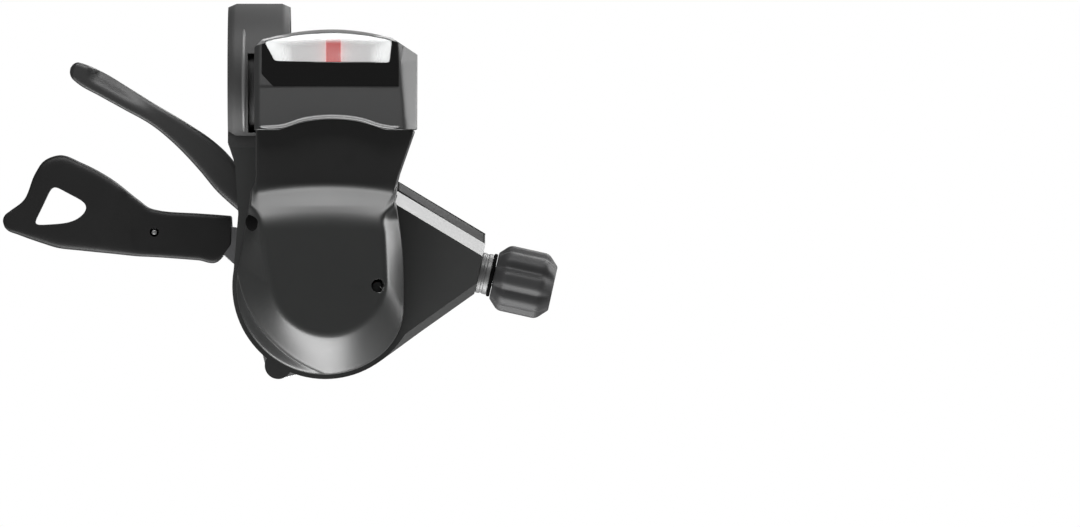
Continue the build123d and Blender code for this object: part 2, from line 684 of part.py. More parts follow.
def cover_form(inset, face_inset):
    face_y = FACE_Y + inset
    dome = loft([front(DOME_Y) * dome_outline(inset), front(face_y) * face_outline(face_inset)], ruled=True)
    skirt = slab(dome_outline(inset), DOME_Y, PLATE_Y)
    neck_plan = neck_outline(inset)
    if inset:
        top = Pos((NECK_LEFT_X + NECK_RIGHT_X) / 2, NECK_TOP_Z)
        neck_plan += top * Rectangle(NECK_RIGHT_X - NECK_LEFT_X - NECK_OPENING, NECK_OPENING)
    width = NECK_RIGHT_X - COVER_TOP_LEFT_X
    neck = extrude(Plane.YZ.offset(COVER_TOP_LEFT_X) * neck_profile(inset), amount=width)
    neck &= slab(neck_plan, FACE_Y, PLATE_Y)
    return dome + skirt + neck


def main_cover():
    place = (COVER_SCREW_X, COVER_SCREW_Z)
    shell = cover_form(0, 0) - cover_form(COVER_WALL, COVER_WALL / 2)
    boss = disc(COVER_BOSS_R, place, FACE_Y + COVER_WALL / 2, PLATE_Y) & cover_form(0, 0)
    shell += boss
    head_y = FACE_Y + COVER_SCREW_SINK
    shell -= disc(COVER_SCREW_HEAD_R + RUNNING_CLEARANCE, place, FACE_Y, head_y + SCREW_HEAD_HEIGHT)
    shell -= disc(SCREW_R - HOLE_CLEARANCE, place, head_y, PLATE_Y)
    sight = cable_point(plug_seat() - ENTRY_SIGHT_SETBACK, 0)
    return shell - disc(ENTRY_NOTCH_R, sight, FACE_Y, PLATE_Y)


def cover_screw():
    place = (COVER_SCREW_X, COVER_SCREW_Z)
    head_y = FACE_Y + COVER_SCREW_SINK
    head = disc(COVER_SCREW_HEAD_R, place, head_y, head_y + SCREW_HEAD_HEIGHT)
    shank_r = SCREW_R - HOLE_CLEARANCE - RUNNING_CLEARANCE
    return head + disc(shank_r, place, head_y, PLATE_BACK_Y - SEAT_GAP)


# Gear display

def housing_outline(tail=False):
    # Front view of the display; the tail carries it straight down for the shelf behind.
    crown = ThreePointArc(HOUSING_TOP_LEFT, HOUSING_CROWN, HOUSING_TOP_RIGHT)
    right = Polyline(
        HOUSING_TOP_RIGHT,
        (HOUSING_RIGHT_X, HOUSING_SIDE_Z),
        (HOUSING_RIGHT_X, CASE_Z if tail else LIP_Z),
        (ARCH_RIGHT_X, CASE_Z if tail else LIP_Z),
    )
    left = Polyline(
        (ARCH_LEFT_X, CASE_Z if tail else LIP_Z),
        (HOUSING_LEFT_X, CASE_Z if tail else LIP_Z),
        (HOUSING_LEFT_X, HOUSING_TOP_LEFT[1] - HOUSING_WALL),
        HOUSING_TOP_LEFT,
    )
    if tail:
        arch = Line(right @ 1, left @ 0)
    else:
        arch = ThreePointArc(right @ 1, ((ARCH_LEFT_X + ARCH_RIGHT_X) / 2, ARCH_Z), left @ 0)
    return make_face([crown] + right.edges() + [arch] + left.edges())


def housing_profile():
    # Side view as (Y, Z), running far behind the shelf so that an inset leaves the back open.
    far_y = SHELF_Y - FACE_Y
    crown = ThreePointArc(
        (CROWN_Y, CROWN_Z),
        ((CROWN_Y + ROOF_Y) / 2 - ROOF_BULGE, (CROWN_Z + HOUSING_CROWN[1]) / 2 + ROOF_BULGE),
        (ROOF_Y, HOUSING_CROWN[1]),
    )
    rest = Polyline(
        (ROOF_Y, HOUSING_CROWN[1]),
        (far_y, HOUSING_CROWN[1]),
        (far_y, HOUSING_FLOOR_Z),
        (LIP_Y + LIP_DEPTH, HOUSING_FLOOR_Z),
        (LIP_Y + LIP_DEPTH, LIP_Z),
        (LIP_Y, LIP_Z),
        (WINDOW_Y, WINDOW_Z),
        (CROWN_Y, CROWN_Z),
    )
    return make_face([crown] + rest.edges())


def housing_form(inset):
    outline = housing_outline()
    profile = housing_profile()
    if inset:
        outline = offset(outline, -inset)
        profile = offset(profile, -inset)
    width = HOUSING_RIGHT_X - HOUSING_LEFT_X
    body = extrude(Plane.YZ.offset(HOUSING_LEFT_X) * profile, amount=width)
    return body & slab(outline, LIP_Y, SHELF_Y) & side_bevels(inset)


def side_bevels(inset):
    # Plan view as (X, Y) that slants both front corners of the display, leaning with its face.
    left = HOUSING_LEFT_X + inset
    right = HOUSING_RIGHT_X - inset
    front_y = LIP_Y + inset
    plan = polygon(
        (left, SHELF_Y),
        (left, front_y + HOUSING_LEFT_BEVEL),
        (left + HOUSING_LEFT_BEVEL, front_y),
        (right - HOUSING_SIDE_BEVEL, front_y),
        (right, front_y + HOUSING_SIDE_BEVEL_DEPTH),
        (right, SHELF_Y),
    )
    lean = (WINDOW_Y - LIP_Y) / (WINDOW_Z - LIP_Z)
    height = HOUSING_CROWN[1] - LIP_Z
    return extrude(Plane.XY.offset(LIP_Z) * plan, amount=height, dir=Vector(0, lean, 1))


def window_outline(inset):
    top_z = HOUSING_CROWN[1] + HOUSING_WALL
    outline = polygon(
        (WINDOW_LEFT_X + WINDOW_FLARE, WINDOW_Z),
        (WINDOW_RIGHT_X - WINDOW_RIGHT_FLARE, WINDOW_Z),
        (WINDOW_RIGHT_X, top_z),
        (WINDOW_LEFT_X - WINDOW_FLARE, top_z),
    )
    outline = fillet(outline.vertices().sort_by(Axis.Y)[:2], WINDOW_CORNER)
    return offset(outline, -inset) if inset else outline


def indicator_screw_place():
    return (SHELF_RIGHT_X - SCREW_HEAD_R - 2 * HOLE_CLEARANCE, INDICATOR_SCREW_Z)


def indicator_housing():
    shell = housing_form(0) - housing_form(HOUSING_WALL)
    shell += disc(SCREW_HEAD_R, indicator_screw_place(), WINDOW_Y, SHELF_Y) & housing_form(0)
    shell -= slab(window_outline(0), LIP_Y, SHELF_Y)
    slot_x = (ARCH_LEFT_X + ARCH_RIGHT_X) / 2
    slot_width = ARCH_RIGHT_X - ARCH_LEFT_X - 2 * SCREW_HEAD_R
    slot_depth = SHELF_Y - NEEDLE_Y + NEEDLE_THICKNESS
    slot = Pos(slot_x, HOUSING_FLOOR_Z) * Rectangle(slot_width, NEEDLE_SLOT_HEIGHT)
    shell -= slab(slot, SHELF_Y - slot_depth, SHELF_Y)
    thread_y = SHELF_Y - SCREW_LENGTH / 2
    return shell - disc(SCREW_R - HOLE_CLEARANCE, indicator_screw_place(), thread_y, SHELF_Y)


def indicator_screw():
    head_y = SHELF_Y + SHELF_THICKNESS - SCREW_HEAD_HEIGHT
    shank_r = SCREW_R - HOLE_CLEARANCE - RUNNING_CLEARANCE
    head = disc(SCREW_HEAD_R, indicator_screw_place(), head_y, SHELF_Y + SHELF_THICKNESS)
    return head + disc(shank_r, indicator_screw_place(), SHELF_Y - SCREW_LENGTH / 2, head_y)


def indicator_lens():
    skin = housing_form(0) - housing_form(LENS_THICKNESS)
    return skin & slab(window_outline(RUNNING_CLEARANCE), LIP_Y, SHELF_Y)


def indicator_dial():
    room = offset(housing_outline(), -LENS_THICKNESS - HOLE_CLEARANCE)
    x_mid = (WINDOW_LEFT_X + WINDOW_RIGHT_X) / 2
    height = HOUSING_CROWN[1] - DIAL_FLOOR_Z
    width = WINDOW_RIGHT_X - WINDOW_LEFT_X - WINDOW_FLARE
    area = Pos(x_mid, DIAL_FLOOR_Z + height / 2) * Rectangle(width, height)
    return slab(room & area, SHELF_Y - DIAL_THICKNESS, SHELF_Y)


def indicator_needle():
    pivot_x = AXIS_X
    half_flag = NEEDLE_FLAG_WIDTH / 2
    half_stem = NEEDLE_STEM_WIDTH / 2
    pointer = polygon(
        (pivot_x - half_stem, NEEDLE_PIVOT_Z),
        (NEEDLE_TIP_X - half_stem, NEEDLE_FLAG_Z - half_flag),
        (NEEDLE_TIP_X - half_flag, NEEDLE_FLAG_Z),
        (NEEDLE_TIP_X - half_flag, NEEDLE_TIP_Z),
        (NEEDLE_TIP_X + half_flag, NEEDLE_TIP_Z),
        (NEEDLE_TIP_X + half_flag, NEEDLE_FLAG_Z),
        (NEEDLE_TIP_X + half_stem, NEEDLE_FLAG_Z - half_flag),
        (pivot_x + half_stem, NEEDLE_PIVOT_Z),
    )
    slot_width = 2 * (DRIVE_PIN_R + FORK_CLEARANCE)
    fork_top = AXIS_Z + DRIVE_R + NEEDLE_FORK_REACH
    fork_end = AXIS_Z + DRIVE_R - NEEDLE_FORK_REACH
    tail = Pos(pivot_x, (NEEDLE_PIVOT_Z + fork_end) / 2) * Rectangle(
        slot_width + 2 * FORK_WALL, NEEDLE_PIVOT_Z - fork_end)
    slot = Pos(pivot_x, (fork_top + fork_end) / 2) * Rectangle(slot_width, fork_top - fork_end)
    plate = pointer + tail - slot
    hub = Pos(pivot_x, NEEDLE_PIVOT_Z) * Circle(NEEDLE_HUB_R)
    body = slab(plate + hub, NEEDLE_Y, NEEDLE_Y + NEEDLE_THICKNESS)
    body += slab(hub, NEEDLE_Y, SHELF_Y - AXIAL_GAP)
    pin_r = NEEDLE_PIN_R + RUNNING_CLEARANCE
    return body - disc(pin_r, (pivot_x, NEEDLE_PIVOT_Z), NEEDLE_Y, SHELF_Y)


# Spool, ratchet and spring

def cable_spool():
    body = disc(SPOOL_HUB_R, axis_place(), SPOOL_Y, RATCHET_Y)
    body += disc(SPOOL_FLANGE_R, axis_place(), GROOVE_Y - SPOOL_FLANGE_THICKNESS, FLANGE_BACK_Y)
    groove = Circle(SPOOL_FLANGE_R + SEAT_GAP) - Circle(SPOOL_R)
    body -= slab(Pos(*axis_place()) * groove, GROOVE_Y, GROOVE_Y + SPOOL_GROOVE_WIDTH)
    body -= disc(NIPPLE_POCKET_R, around(SPOOL_R, NIPPLE_ANGLE), GROOVE_Y, FLANGE_BACK_Y)
    return body - disc(SHAFT_R + RUNNING_CLEARANCE, axis_place(), SPOOL_Y, RATCHET_Y)


def ratchet_plate():
    pitch = 360 / RATCHET_TEETH
    points = []
    for tooth in range(RATCHET_TEETH):
        points.append(around(RATCHET_R, tooth * pitch))
        points.append(around(RATCHET_R - RATCHET_DEPTH, tooth * pitch))
    outline = polygon(*points)
    body = slab(outline, RATCHET_Y, RATCHET_BACK_Y)
    return body - disc(SHAFT_R + RUNNING_CLEARANCE, axis_place(), RATCHET_Y, RATCHET_BACK_Y)


def indicator_drive_arm():
    arm = Pos(AXIS_X, AXIS_Z + DRIVE_R / 2) * Rectangle(DRIVE_ARM_WIDTH, DRIVE_R)
    tip = Pos(*around(DRIVE_R, 90)) * Circle(DRIVE_ARM_WIDTH / 2)
    outline = Pos(*axis_place()) * Circle(SPOOL_HUB_R) + arm + tip
    body = slab(outline, DRIVE_ARM_Y, SPOOL_Y)
    body -= disc(SHAFT_R + RUNNING_CLEARANCE, axis_place(), DRIVE_ARM_Y, SPOOL_Y)
    return body + disc(DRIVE_PIN_R, around(DRIVE_R, 90), NEEDLE_Y - AXIAL_GAP, DRIVE_ARM_Y)


def main_spring():
    # Flat spiral of half rings that grow by half a pitch each half turn.
    inner = SHAFT_R + AXIAL_GAP
    strip = None
    for half_turn in range(2 * SPRING_TURNS):
        radius = inner + half_turn * SPRING_PITCH / 2
        side = 1 if half_turn % 2 == 0 else -1
        shift = 0 if half_turn % 2 == 0 else SPRING_PITCH / 2
        ring = Circle(radius + SPRING_STRIP) - Circle(radius)
        span = 2 * (radius + SPRING_STRIP)
        half = ring & Pos(0, side * span / 2) * Rectangle(span, span)
        half = Pos(AXIS_X - shift, AXIS_Z) * half
        strip = half if strip is None else strip + half
    return slab(strip, SPRING_Y, SPRING_Y + SPRING_WIDTH)


def main_shaft():
    body = disc(SHAFT_R, axis_place(), PLATE_Y, NUT_BACK_Y)
    return body + disc(SHAFT_HEAD_R, axis_place(), PLATE_Y - SHAFT_HEAD_HEIGHT, PLATE_Y)


def shaft_ring(radius, y_front, y_back):
    body = disc(radius, axis_place(), y_front, y_back)
    return body - disc(SHAFT_R + RUNNING_CLEARANCE, axis_place(), y_front, y_back)


def shaft_nut():
    body = hexagon(SHAFT_NUT_R, axis_place(), NUT_Y, NUT_BACK_Y)
    return body - disc(SHAFT_R + RUNNING_CLEARANCE, axis_place(), NUT_Y, NUT_BACK_Y)


def lever_coil(y_front):
    pitch = 2 * LEVER_WIRE_R + RUNNING_CLEARANCE
    path = Helix(pitch, pitch * LEVER_COIL_TURNS, LEVER_COIL_R)
    wire = sweep(Plane(path @ 0, z_dir=path % 0) * Circle(LEVER_WIRE_R), path=path)
    start_y = y_front + LEVER_WIRE_R + SEAT_GAP
    return Pos(AXIS_X, start_y, AXIS_Z) * Rot(-90, 0, 0) * wire


# Levers and pawls

def low_lug():
    return case_place(CASE_R - LOW_LUG_SETBACK, LOW_LUG_ANGLE)


def side_lug():
    return case_place(CASE_R + SIDE_LUG_OUT, SIDE_LUG_ANGLE)


def lug_places():
    return [low_lug(), side_lug()]


def back_outline(radius):
    outline = case_circle(radius)
    for place in lug_places():
        lug = Pos(*place) * Circle(LUG_R)
        neck = Pos((place[0] + CASE_X) / 2, (place[1] + CASE_Z) / 2) * Circle(radius / 2)
        outline += make_hull(lug.edges() + neck.edges())
    return outline


def back_plate():
    body = slab(back_outline(CASE_R - SEAT_GAP), CASE_BACK_Y, REAR_Y)
    body -= disc(SHAFT_R + RUNNING_CLEARANCE, axis_place(), CASE_BACK_Y, REAR_Y)
    reach = degrees(PAWL_SLOT_CLEARANCE / PAWL_ORBIT_R)
    start = FEED_PAWL_ANGLE - MAIN_SWING - reach
    slot_arc = CenterArc(axis_place(), PAWL_ORBIT_R, start, MAIN_SWING + 2 * reach)
    body -= slab(SlotArc(slot_arc, 2 * (PAWL_PIN_R + PAWL_SLOT_CLEARANCE)), CASE_BACK_Y, REAR_Y)
    body -= disc(PAWL_PIN_R, around(PAWL_ORBIT_R, HOLDING_PAWL_ANGLE), CASE_BACK_Y, REAR_Y)
    for place in lug_places():
        body -= disc(SCREW_R + RUNNING_CLEARANCE, place, CASE_BACK_Y, REAR_Y)
    return body


def pawl(angle, lead):
    pivot = around(PAWL_ORBIT_R, angle)
    nose = around(RATCHET_R + PAWL_NOSE_GAP + PAWL_NOSE_WIDTH / 2, angle + lead)
    outline = make_hull(
        (Pos(*pivot) * Circle(PAWL_HUB_R)).edges() + (Pos(*nose) * Circle(PAWL_NOSE_WIDTH / 2)).edges())
    outline -= Pos(*axis_place()) * Circle(RATCHET_R + PAWL_NOSE_GAP)
    outline -= Pos(*pivot) * Circle(PAWL_PIN_R + RUNNING_CLEARANCE)
    return slab(outline, RATCHET_Y, RATCHET_BACK_Y)


def feed_pawl_pin():
    return disc(PAWL_PIN_R, around(PAWL_ORBIT_R, FEED_PAWL_ANGLE), RATCHET_Y - AXIAL_GAP, MAIN_Y)


def holding_pawl_pin():
    return disc(PAWL_PIN_R, around(PAWL_ORBIT_R, HOLDING_PAWL_ANGLE), RATCHET_Y - AXIAL_GAP, REAR_Y)


def release_blade_outline():
    top = Spline(*from_axis(BLADE_TOP_EDGE))
    bottom = Spline(*from_axis(BLADE_LOW_EDGE))
    tip = ThreePointArc(bottom @ 1, *from_axis([BLADE_TIP]), top @ 0)
    return make_face([top, Line(top @ 1, bottom @ 0), bottom, tip])


def release_lever_arm():
    arm = polygon(
        *from_axis(RELEASE_ARM_TIP),
        around(LEVER_HUB_R, RELEASE_ARM_LOW_ANGLE),
        around(LEVER_HUB_R, LEVER_ARM_TOP_ANGLE),
    )
    outline = arm + Pos(*axis_place()) * Circle(LEVER_HUB_R)
    outline -= Pos(*axis_place()) * Circle(SHAFT_R + RUNNING_CLEARANCE)
    return slab(outline, RELEASE_Y, RELEASE_BACK_Y)


def release_lever_blade():
    body = slab(release_blade_outline(), RELEASE_Y - RELEASE_BLADE_FRONT, RELEASE_BACK_Y + RELEASE_BLADE_BACK)
    return body - release_lever_arm()


def paddle_outline():
    top = Spline(*from_axis(PADDLE_TOP_EDGE))
    thumb = Spline(top @ 1, *from_axis(PADDLE_THUMB_EDGE))
    bottom = Spline(thumb @ 1, *from_axis(PADDLE_LOW_EDGE))
    shank = Polyline(bottom @ 1, *from_axis(PADDLE_SHANK), top @ 0)
    outline = make_face([top, thumb, bottom] + shank.edges())
    hole = polygon(*from_axis(PADDLE_HOLE))
    return outline - fillet(hole.vertices(), PADDLE_HOLE_ROUND)


def paddle_bend():
    # Plan view as (X, Y): straight along the shank, then swept back towards the thumb end.
    front_y = MAIN_Y - PADDLE_FRONT
    back_y = MAIN_BACK_Y + PADDLE_BACK
    bend_x = AXIS_X + PADDLE_BEND_X
    tip_x = AXIS_X + PADDLE_TIP_X
    plan = polygon(
        (AXIS_X, front_y),
        (bend_x, front_y),
        (tip_x, front_y + PADDLE_SWEEP),
        (tip_x, back_y + PADDLE_SWEEP),
        (bend_x, back_y),
        (AXIS_X, back_y),
    )
    return extrude(Plane.XY.offset(AXIS_Z) * plan, amount=CASE_R + RING_R)


def main_lever_arm():
    arm = polygon(
        *from_axis(MAIN_ARM_TIP),
        around(LEVER_HUB_R, MAIN_ARM_LOW_ANGLE),
        around(LEVER_HUB_R, LEVER_ARM_TOP_ANGLE),
    )
    ear = make_hull(
        (Pos(*around(PAWL_ORBIT_R, FEED_PAWL_ANGLE)) * Circle(PAWL_HUB_R)).edges()
        + (Pos(*axis_place()) * Circle(LEVER_HUB_R / 2)).edges())
    outline = arm + ear + Pos(*axis_place()) * Circle(LEVER_HUB_R)
    outline -= Pos(*axis_place()) * Circle(SHAFT_R + RUNNING_CLEARANCE)
    body = slab(outline, MAIN_Y, MAIN_BACK_Y)
    return body - disc(RIVET_R, rivet_place(), MAIN_Y, MAIN_BACK_Y)


def main_lever_paddle():
    back_y = MAIN_BACK_Y + PADDLE_BACK + PADDLE_SWEEP
    body = slab(paddle_outline(), MAIN_Y - PADDLE_FRONT, back_y) & paddle_bend()
    return body - main_lever_arm() - paddle_rivet()


def paddle_rivet():
    return disc(RIVET_R, rivet_place(), MAIN_Y - PADDLE_FRONT, MAIN_BACK_Y + PADDLE_BACK)


# Rear cover

def rear_cover():
    body = slab(case_circle(REAR_R), REAR_Y, REAR_BACK_Y)
    body = fillet(body.edges().filter_by(GeomType.CIRCLE).sort_by(Axis.Y)[-1], REAR_ROUND)
    for place in lug_places():
        lug = Pos(*place) * Circle(LUG_R)
        neck = Pos((place[0] + CASE_X) / 2, (place[1] + CASE_Z) / 2) * Circle(REAR_R / 2)
        body += slab(make_hull(lug.edges() + neck.edges()), REAR_Y, REAR_Y + REAR_LUG_HEIGHT)
    hollow = slab(case_circle(REAR_R - REAR_WALL), REAR_Y, REAR_BACK_Y - REAR_WALL)
    rear_edge = hollow.edges().filter_by(GeomType.CIRCLE).sort_by(Axis.Y)[-1]
    body -= fillet(rear_edge, REAR_ROUND - REAR_WALL / 2)
    far = 2 * CASE_R
    mid = (REAR_OPENING_FROM + REAR_OPENING_TO) / 2
    opening = polygon(
        axis_place(),
        around(far, REAR_OPENING_FROM),
        around(2 * far, mid),
        around(far, REAR_OPENING_TO),
    )
    body -= slab(opening, REAR_Y, REAR_BACK_Y - REAR_WALL - REAR_ROUND)
    for place in lug_places():
        body -= disc(SCREW_R + RUNNING_CLEARANCE, place, REAR_Y, REAR_Y + REAR_LUG_HEIGHT)
    return body


def rear_cover_screws():
    screws = []
    for place in lug_places():
        seat = REAR_Y + REAR_LUG_HEIGHT
        head = disc(SCREW_HEAD_R, place, seat, seat + SCREW_HEAD_HEIGHT)
        screws.append(head + disc(SCREW_R, place, REAR_Y - SCREW_LENGTH + SEAT_GAP, seat))
    return Compound(screws)


# Cable plug and adjuster

def cable_plug():
    seat = plug_seat()
    return cable_rod(PLUG_HEAD_R, seat - PLUG_HEAD_HEIGHT, seat) + cable_rod(PLUG_R, seat, seat + PLUG_LENGTH)


def adjuster_bush():
    start = COLLAR_START - BUSH_DEPTH
    end = COLLAR_START + COLLAR_LENGTH
    body = cable_rod(BUSH_R, start, COLLAR_START) + cable_rod(COLLAR_R, COLLAR_START, end)
    return body - cable_rod(ADJUSTER_BOLT_R + RUNNING_CLEARANCE, start, end)


def adjuster_bolt():
    head_start = KNOB_START + KNOB_LIP + SEAT_GAP
    body = cable_rod(ADJUSTER_BOLT_R, COLLAR_START - BUSH_DEPTH + AXIAL_GAP, head_start)
    body += cable_rod(ADJUSTER_HEAD_R, head_start, KNOB_END - AXIAL_GAP)
    body -= cable_rod(CABLE_HOLE_R, COLLAR_START - BUSH_DEPTH, KNOB_END)
    return body - cable_rod(SOCKET_R, KNOB_END - AXIAL_GAP - SOCKET_DEPTH, KNOB_END)


def adjuster_knob():
    body = cable_rod(KNOB_R, KNOB_START, KNOB_END)
    body = chamfer(body.edges().filter_by(GeomType.CIRCLE), KNOB_CHAMFER)
    for flute in range(KNOB_FLUTES):
        place = Rot(0, 0, flute * 360 / KNOB_FLUTES) * Pos(KNOB_R + KNOB_FLUTE_R - KNOB_FLUTE_DEPTH, 0)
        body -= extrude(cable_plane(KNOB_START) * place * Circle(KNOB_FLUTE_R), amount=KNOB_LENGTH)
    body -= cable_rod(ADJUSTER_BOLT_R + HOLE_CLEARANCE, KNOB_START, KNOB_END)
    return body - cable_rod(ADJUSTER_HEAD_R + RUNNING_CLEARANCE, KNOB_START + KNOB_LIP, KNOB_END)


# One file per piece

NODES = {
    "base_bracket": base_bracket(),
    "clamp_bolt": clamp_bolt(),
    "clamp_nut": clamp_nut(),
    "main_cover": main_cover(),
    "cover_screw": cover_screw(),
    "indicator_housing": indicator_housing(),
    "indicator_screw": indicator_screw(),
    "indicator_lens": indicator_lens(),
    "indicator_dial": indicator_dial(),
    "indicator_needle": indicator_needle(),
    "main_shaft": main_shaft(),
    "main_spring": main_spring(),
    "indicator_drive_arm": indicator_drive_arm(),
    "cable_spool": cable_spool(),
    "ratchet_plate": ratchet_plate(),
    "spool_spacer": shaft_ring(SPACER_R, RATCHET_BACK_Y + SEAT_GAP, CASE_BACK_Y - SEAT_GAP),
    "back_plate": back_plate(),
    "holding_pawl": pawl(HOLDING_PAWL_ANGLE, HOLDING_NOSE_LEAD),
    "holding_pawl_pin": holding_pawl_pin(),
    "feed_pawl": pawl(FEED_PAWL_ANGLE, FEED_NOSE_LEAD),
    "feed_pawl_pin": feed_pawl_pin(),
    "release_lever_spring": lever_coil(REAR_Y),
    "release_lever_arm": release_lever_arm(),
    "release_lever_blade": release_lever_blade(),
    "lever_spacer": shaft_ring(SPACER_R, RELEASE_BACK_Y + SEAT_GAP, MAIN_Y - SEAT_GAP),
    "main_lever_arm": main_lever_arm(),
    "main_lever_paddle": main_lever_paddle(),
    "paddle_rivet": paddle_rivet(),
    "main_lever_spring": lever_coil(MAIN_BACK_Y),
    "shaft_washer": shaft_ring(SHAFT_WASHER_R, WASHER_Y, NUT_Y),
    "shaft_nut": shaft_nut(),
    "rear_cover": rear_cover(),
    "rear_cover_screws": rear_cover_screws(),
    "cable_plug": cable_plug(),
    "adjuster_bush": adjuster_bush(),
    "adjuster_bolt": adjuster_bolt(),
    "adjuster_knob": adjuster_knob(),
}

os.makedirs("parts", exist_ok=True)
for name, solid in NODES.items():
    export_step(solid, f"parts/{name}.step")
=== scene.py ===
import json
import math
import bpy
import numpy as np
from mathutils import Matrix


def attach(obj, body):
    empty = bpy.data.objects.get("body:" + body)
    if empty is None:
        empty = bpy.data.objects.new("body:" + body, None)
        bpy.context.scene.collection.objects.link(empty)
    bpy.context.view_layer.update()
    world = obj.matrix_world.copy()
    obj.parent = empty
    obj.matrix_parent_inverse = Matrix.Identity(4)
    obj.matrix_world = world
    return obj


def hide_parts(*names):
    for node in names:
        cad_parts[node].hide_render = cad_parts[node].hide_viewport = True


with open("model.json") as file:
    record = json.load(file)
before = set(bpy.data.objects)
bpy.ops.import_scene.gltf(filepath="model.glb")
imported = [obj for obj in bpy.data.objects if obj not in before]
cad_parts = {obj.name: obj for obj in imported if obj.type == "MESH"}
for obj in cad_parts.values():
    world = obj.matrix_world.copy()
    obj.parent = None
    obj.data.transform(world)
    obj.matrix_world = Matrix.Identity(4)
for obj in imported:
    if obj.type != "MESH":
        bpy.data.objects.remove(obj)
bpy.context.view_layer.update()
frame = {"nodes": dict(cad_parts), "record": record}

scene = bpy.context.scene
scene.view_settings.view_transform = "Standard"

mm = 0.001  # every shape below is written in millimetres
joins = {"pole": 0.002, "seam": 0.02, "sharp": 50.0}  # two weld distances, and the bend in degrees that stays sharp


# camera: straight on, long lens, object in the left half as in the picture
shot = {"centreX": 54.04, "centreZ": -36.06, "width": 207.69, "planeY": -8.0, "distance": 4000.0, "sensor": 36.0}
cameraData = bpy.data.cameras.new("shotCamera")
cameraData.sensor_width = shot["sensor"]
cameraData.lens = shot["sensor"] * shot["distance"] / shot["width"]
cameraData.clip_start = 0.1
cameraData.clip_end = 200.0
camera = bpy.data.objects.new("shotCamera", cameraData)
camera.location = (shot["centreX"] * mm, (shot["planeY"] - shot["distance"]) * mm, shot["centreZ"] * mm)
camera.rotation_euler = (math.radians(90), 0, 0)
scene.collection.objects.link(camera)
scene.camera = camera
print("camera placed")


# triangles between the front and the back rim of a hole: each step goes on along the rim that has turned less
def throughWall(spots, quads, dropped, centre):
    edges = np.concatenate([quads[:, [side, (side + 1) % 4]] for side in range(4)])
    edges = {(a, b) for a, b in edges[dropped[edges].all(axis=1)].tolist()}
    follows = {b: a for a, b in edges if (b, a) not in edges}
    rims = []
    while follows:
        rim = [next(iter(follows))]
        while rim[-1] in follows:
            rim.append(follows.pop(rim[-1]))
        rims.append(rim[:-1])
    front, back = sorted(sorted(rims, key=len)[-2:], key=lambda rim: spots[rim, 1].mean())
    back = back[::-1]

    def angles(rim):
        return np.arctan2(spots[rim, 2] - centre[1], spots[rim, 0] - centre[0])

    start = int(np.argmin(np.abs(np.angle(np.exp(1j * (angles(back) - angles(front)[0]))))))
    back = back[start:] + back[:start]
    front, back = front + front[:1], back + back[:1]
    turned = [np.abs(np.unwrap(angles(rim)) - angles(rim)[0]) for rim in (front, back)]
    i = j = 0
    wall = []
    while i < len(front) - 1 or j < len(back) - 1:
        if j == len(back) - 1 or (i < len(front) - 1 and turned[0][i + 1] <= turned[1][j + 1]):
            wall.append([front[i], front[i + 1], back[j]])
            i += 1
        else:
            wall.append([back[j + 1], back[j], front[i]])
            j += 1
    return wall


# mesh from a grid of points: rows follow the first parameter, columns the second
# a hole is (x, z, depth, radius over angle) seen from the front: points inside and in front of that depth
# go out to its rim, faces inside are left out; a hole that goes through gets a wall from rim to rim
def gridPiece(name, points, wrapRows=False, wrapColumns=False, flip=False, holes=(), through=False):
    rows, columns = points.shape[:2]
    spots = points.reshape(-1, 3).copy()
    dropped = np.zeros(len(spots), dtype=bool)
    for holeX, holeZ, holeY, rimAt in holes:
        away = spots[:, [0, 2]] - np.array([holeX, holeZ])
        far = np.linalg.norm(away, axis=1) + 1e-9
        rim = rimAt(np.arctan2(away[:, 1], away[:, 0]))
        inside = (far < rim) & (spots[:, 1] < holeY)
        spots[inside, 0] = holeX + (away[:, 0] / far * rim)[inside]
        spots[inside, 2] = holeZ + (away[:, 1] / far * rim)[inside]
        dropped |= inside
    index = np.arange(rows * columns).reshape(rows, columns)
    if wrapRows:
        index = np.vstack([index, index[:1]])
    if wrapColumns:
        index = np.hstack([index, index[:, :1]])
    quads = np.stack([index[:-1, :-1], index[1:, :-1], index[1:, 1:], index[:-1, 1:]], axis=-1).reshape(-1, 4)
    if flip:
        quads = quads[:, ::-1]
    quads = quads[~dropped[quads].all(axis=1)]
    wall = throughWall(spots, quads, dropped, holes[0][:2]) if through else []
    used, order = np.unique(quads, return_inverse=True)
    place = np.zeros(len(spots), dtype=int)
    place[used] = np.arange(len(used))
    faces = order.reshape(-1, 4).tolist() + [place[corners].tolist() for corners in wall]
    mesh = bpy.data.meshes.new(name)
    mesh.from_pydata((spots[used] * mm).tolist(), [], faces)
    mesh.polygons.foreach_set("use_smooth", np.ones(len(mesh.polygons), dtype=bool))
    if through:
        mesh.set_sharp_from_angle(angle=math.radians(joins["sharp"]))
    mesh.update()
    piece = bpy.data.objects.new(name, mesh)
    scene.collection.objects.link(piece)
    poles = piece.modifiers.new("poles", "WELD")
    poles.merge_threshold = joins["pole"] * mm
    return piece


# wall behind a sheet, away from the side that it shows
def thicken(piece, wall):
    shell = piece.modifiers.new("wall", "SOLIDIFY")
    shell.thickness = wall * mm
    shell.offset = -1.0


# last row drawn together in its middle, which closes the end of a carried section
def closedEnd(points):
    last = points[-1:]
    return np.concatenate([points, np.broadcast_to(last.mean(axis=1, keepdims=True), last.shape)])


# values into a node's sockets: another node's output is linked, a number or a colour is set
def feed(tree, node, values):
    for label, value in values.items():
        if isinstance(value, bpy.types.NodeSocket):
            tree.links.new(value, node.inputs[label])
        else:
            node.inputs[label].default_value = value


def addMath(tree, operation, first, second):
    node = tree.nodes.new("ShaderNodeMath")
    node.operation = operation
    feed(tree, node, {0: first, 1: second})
    return node.outputs[0]


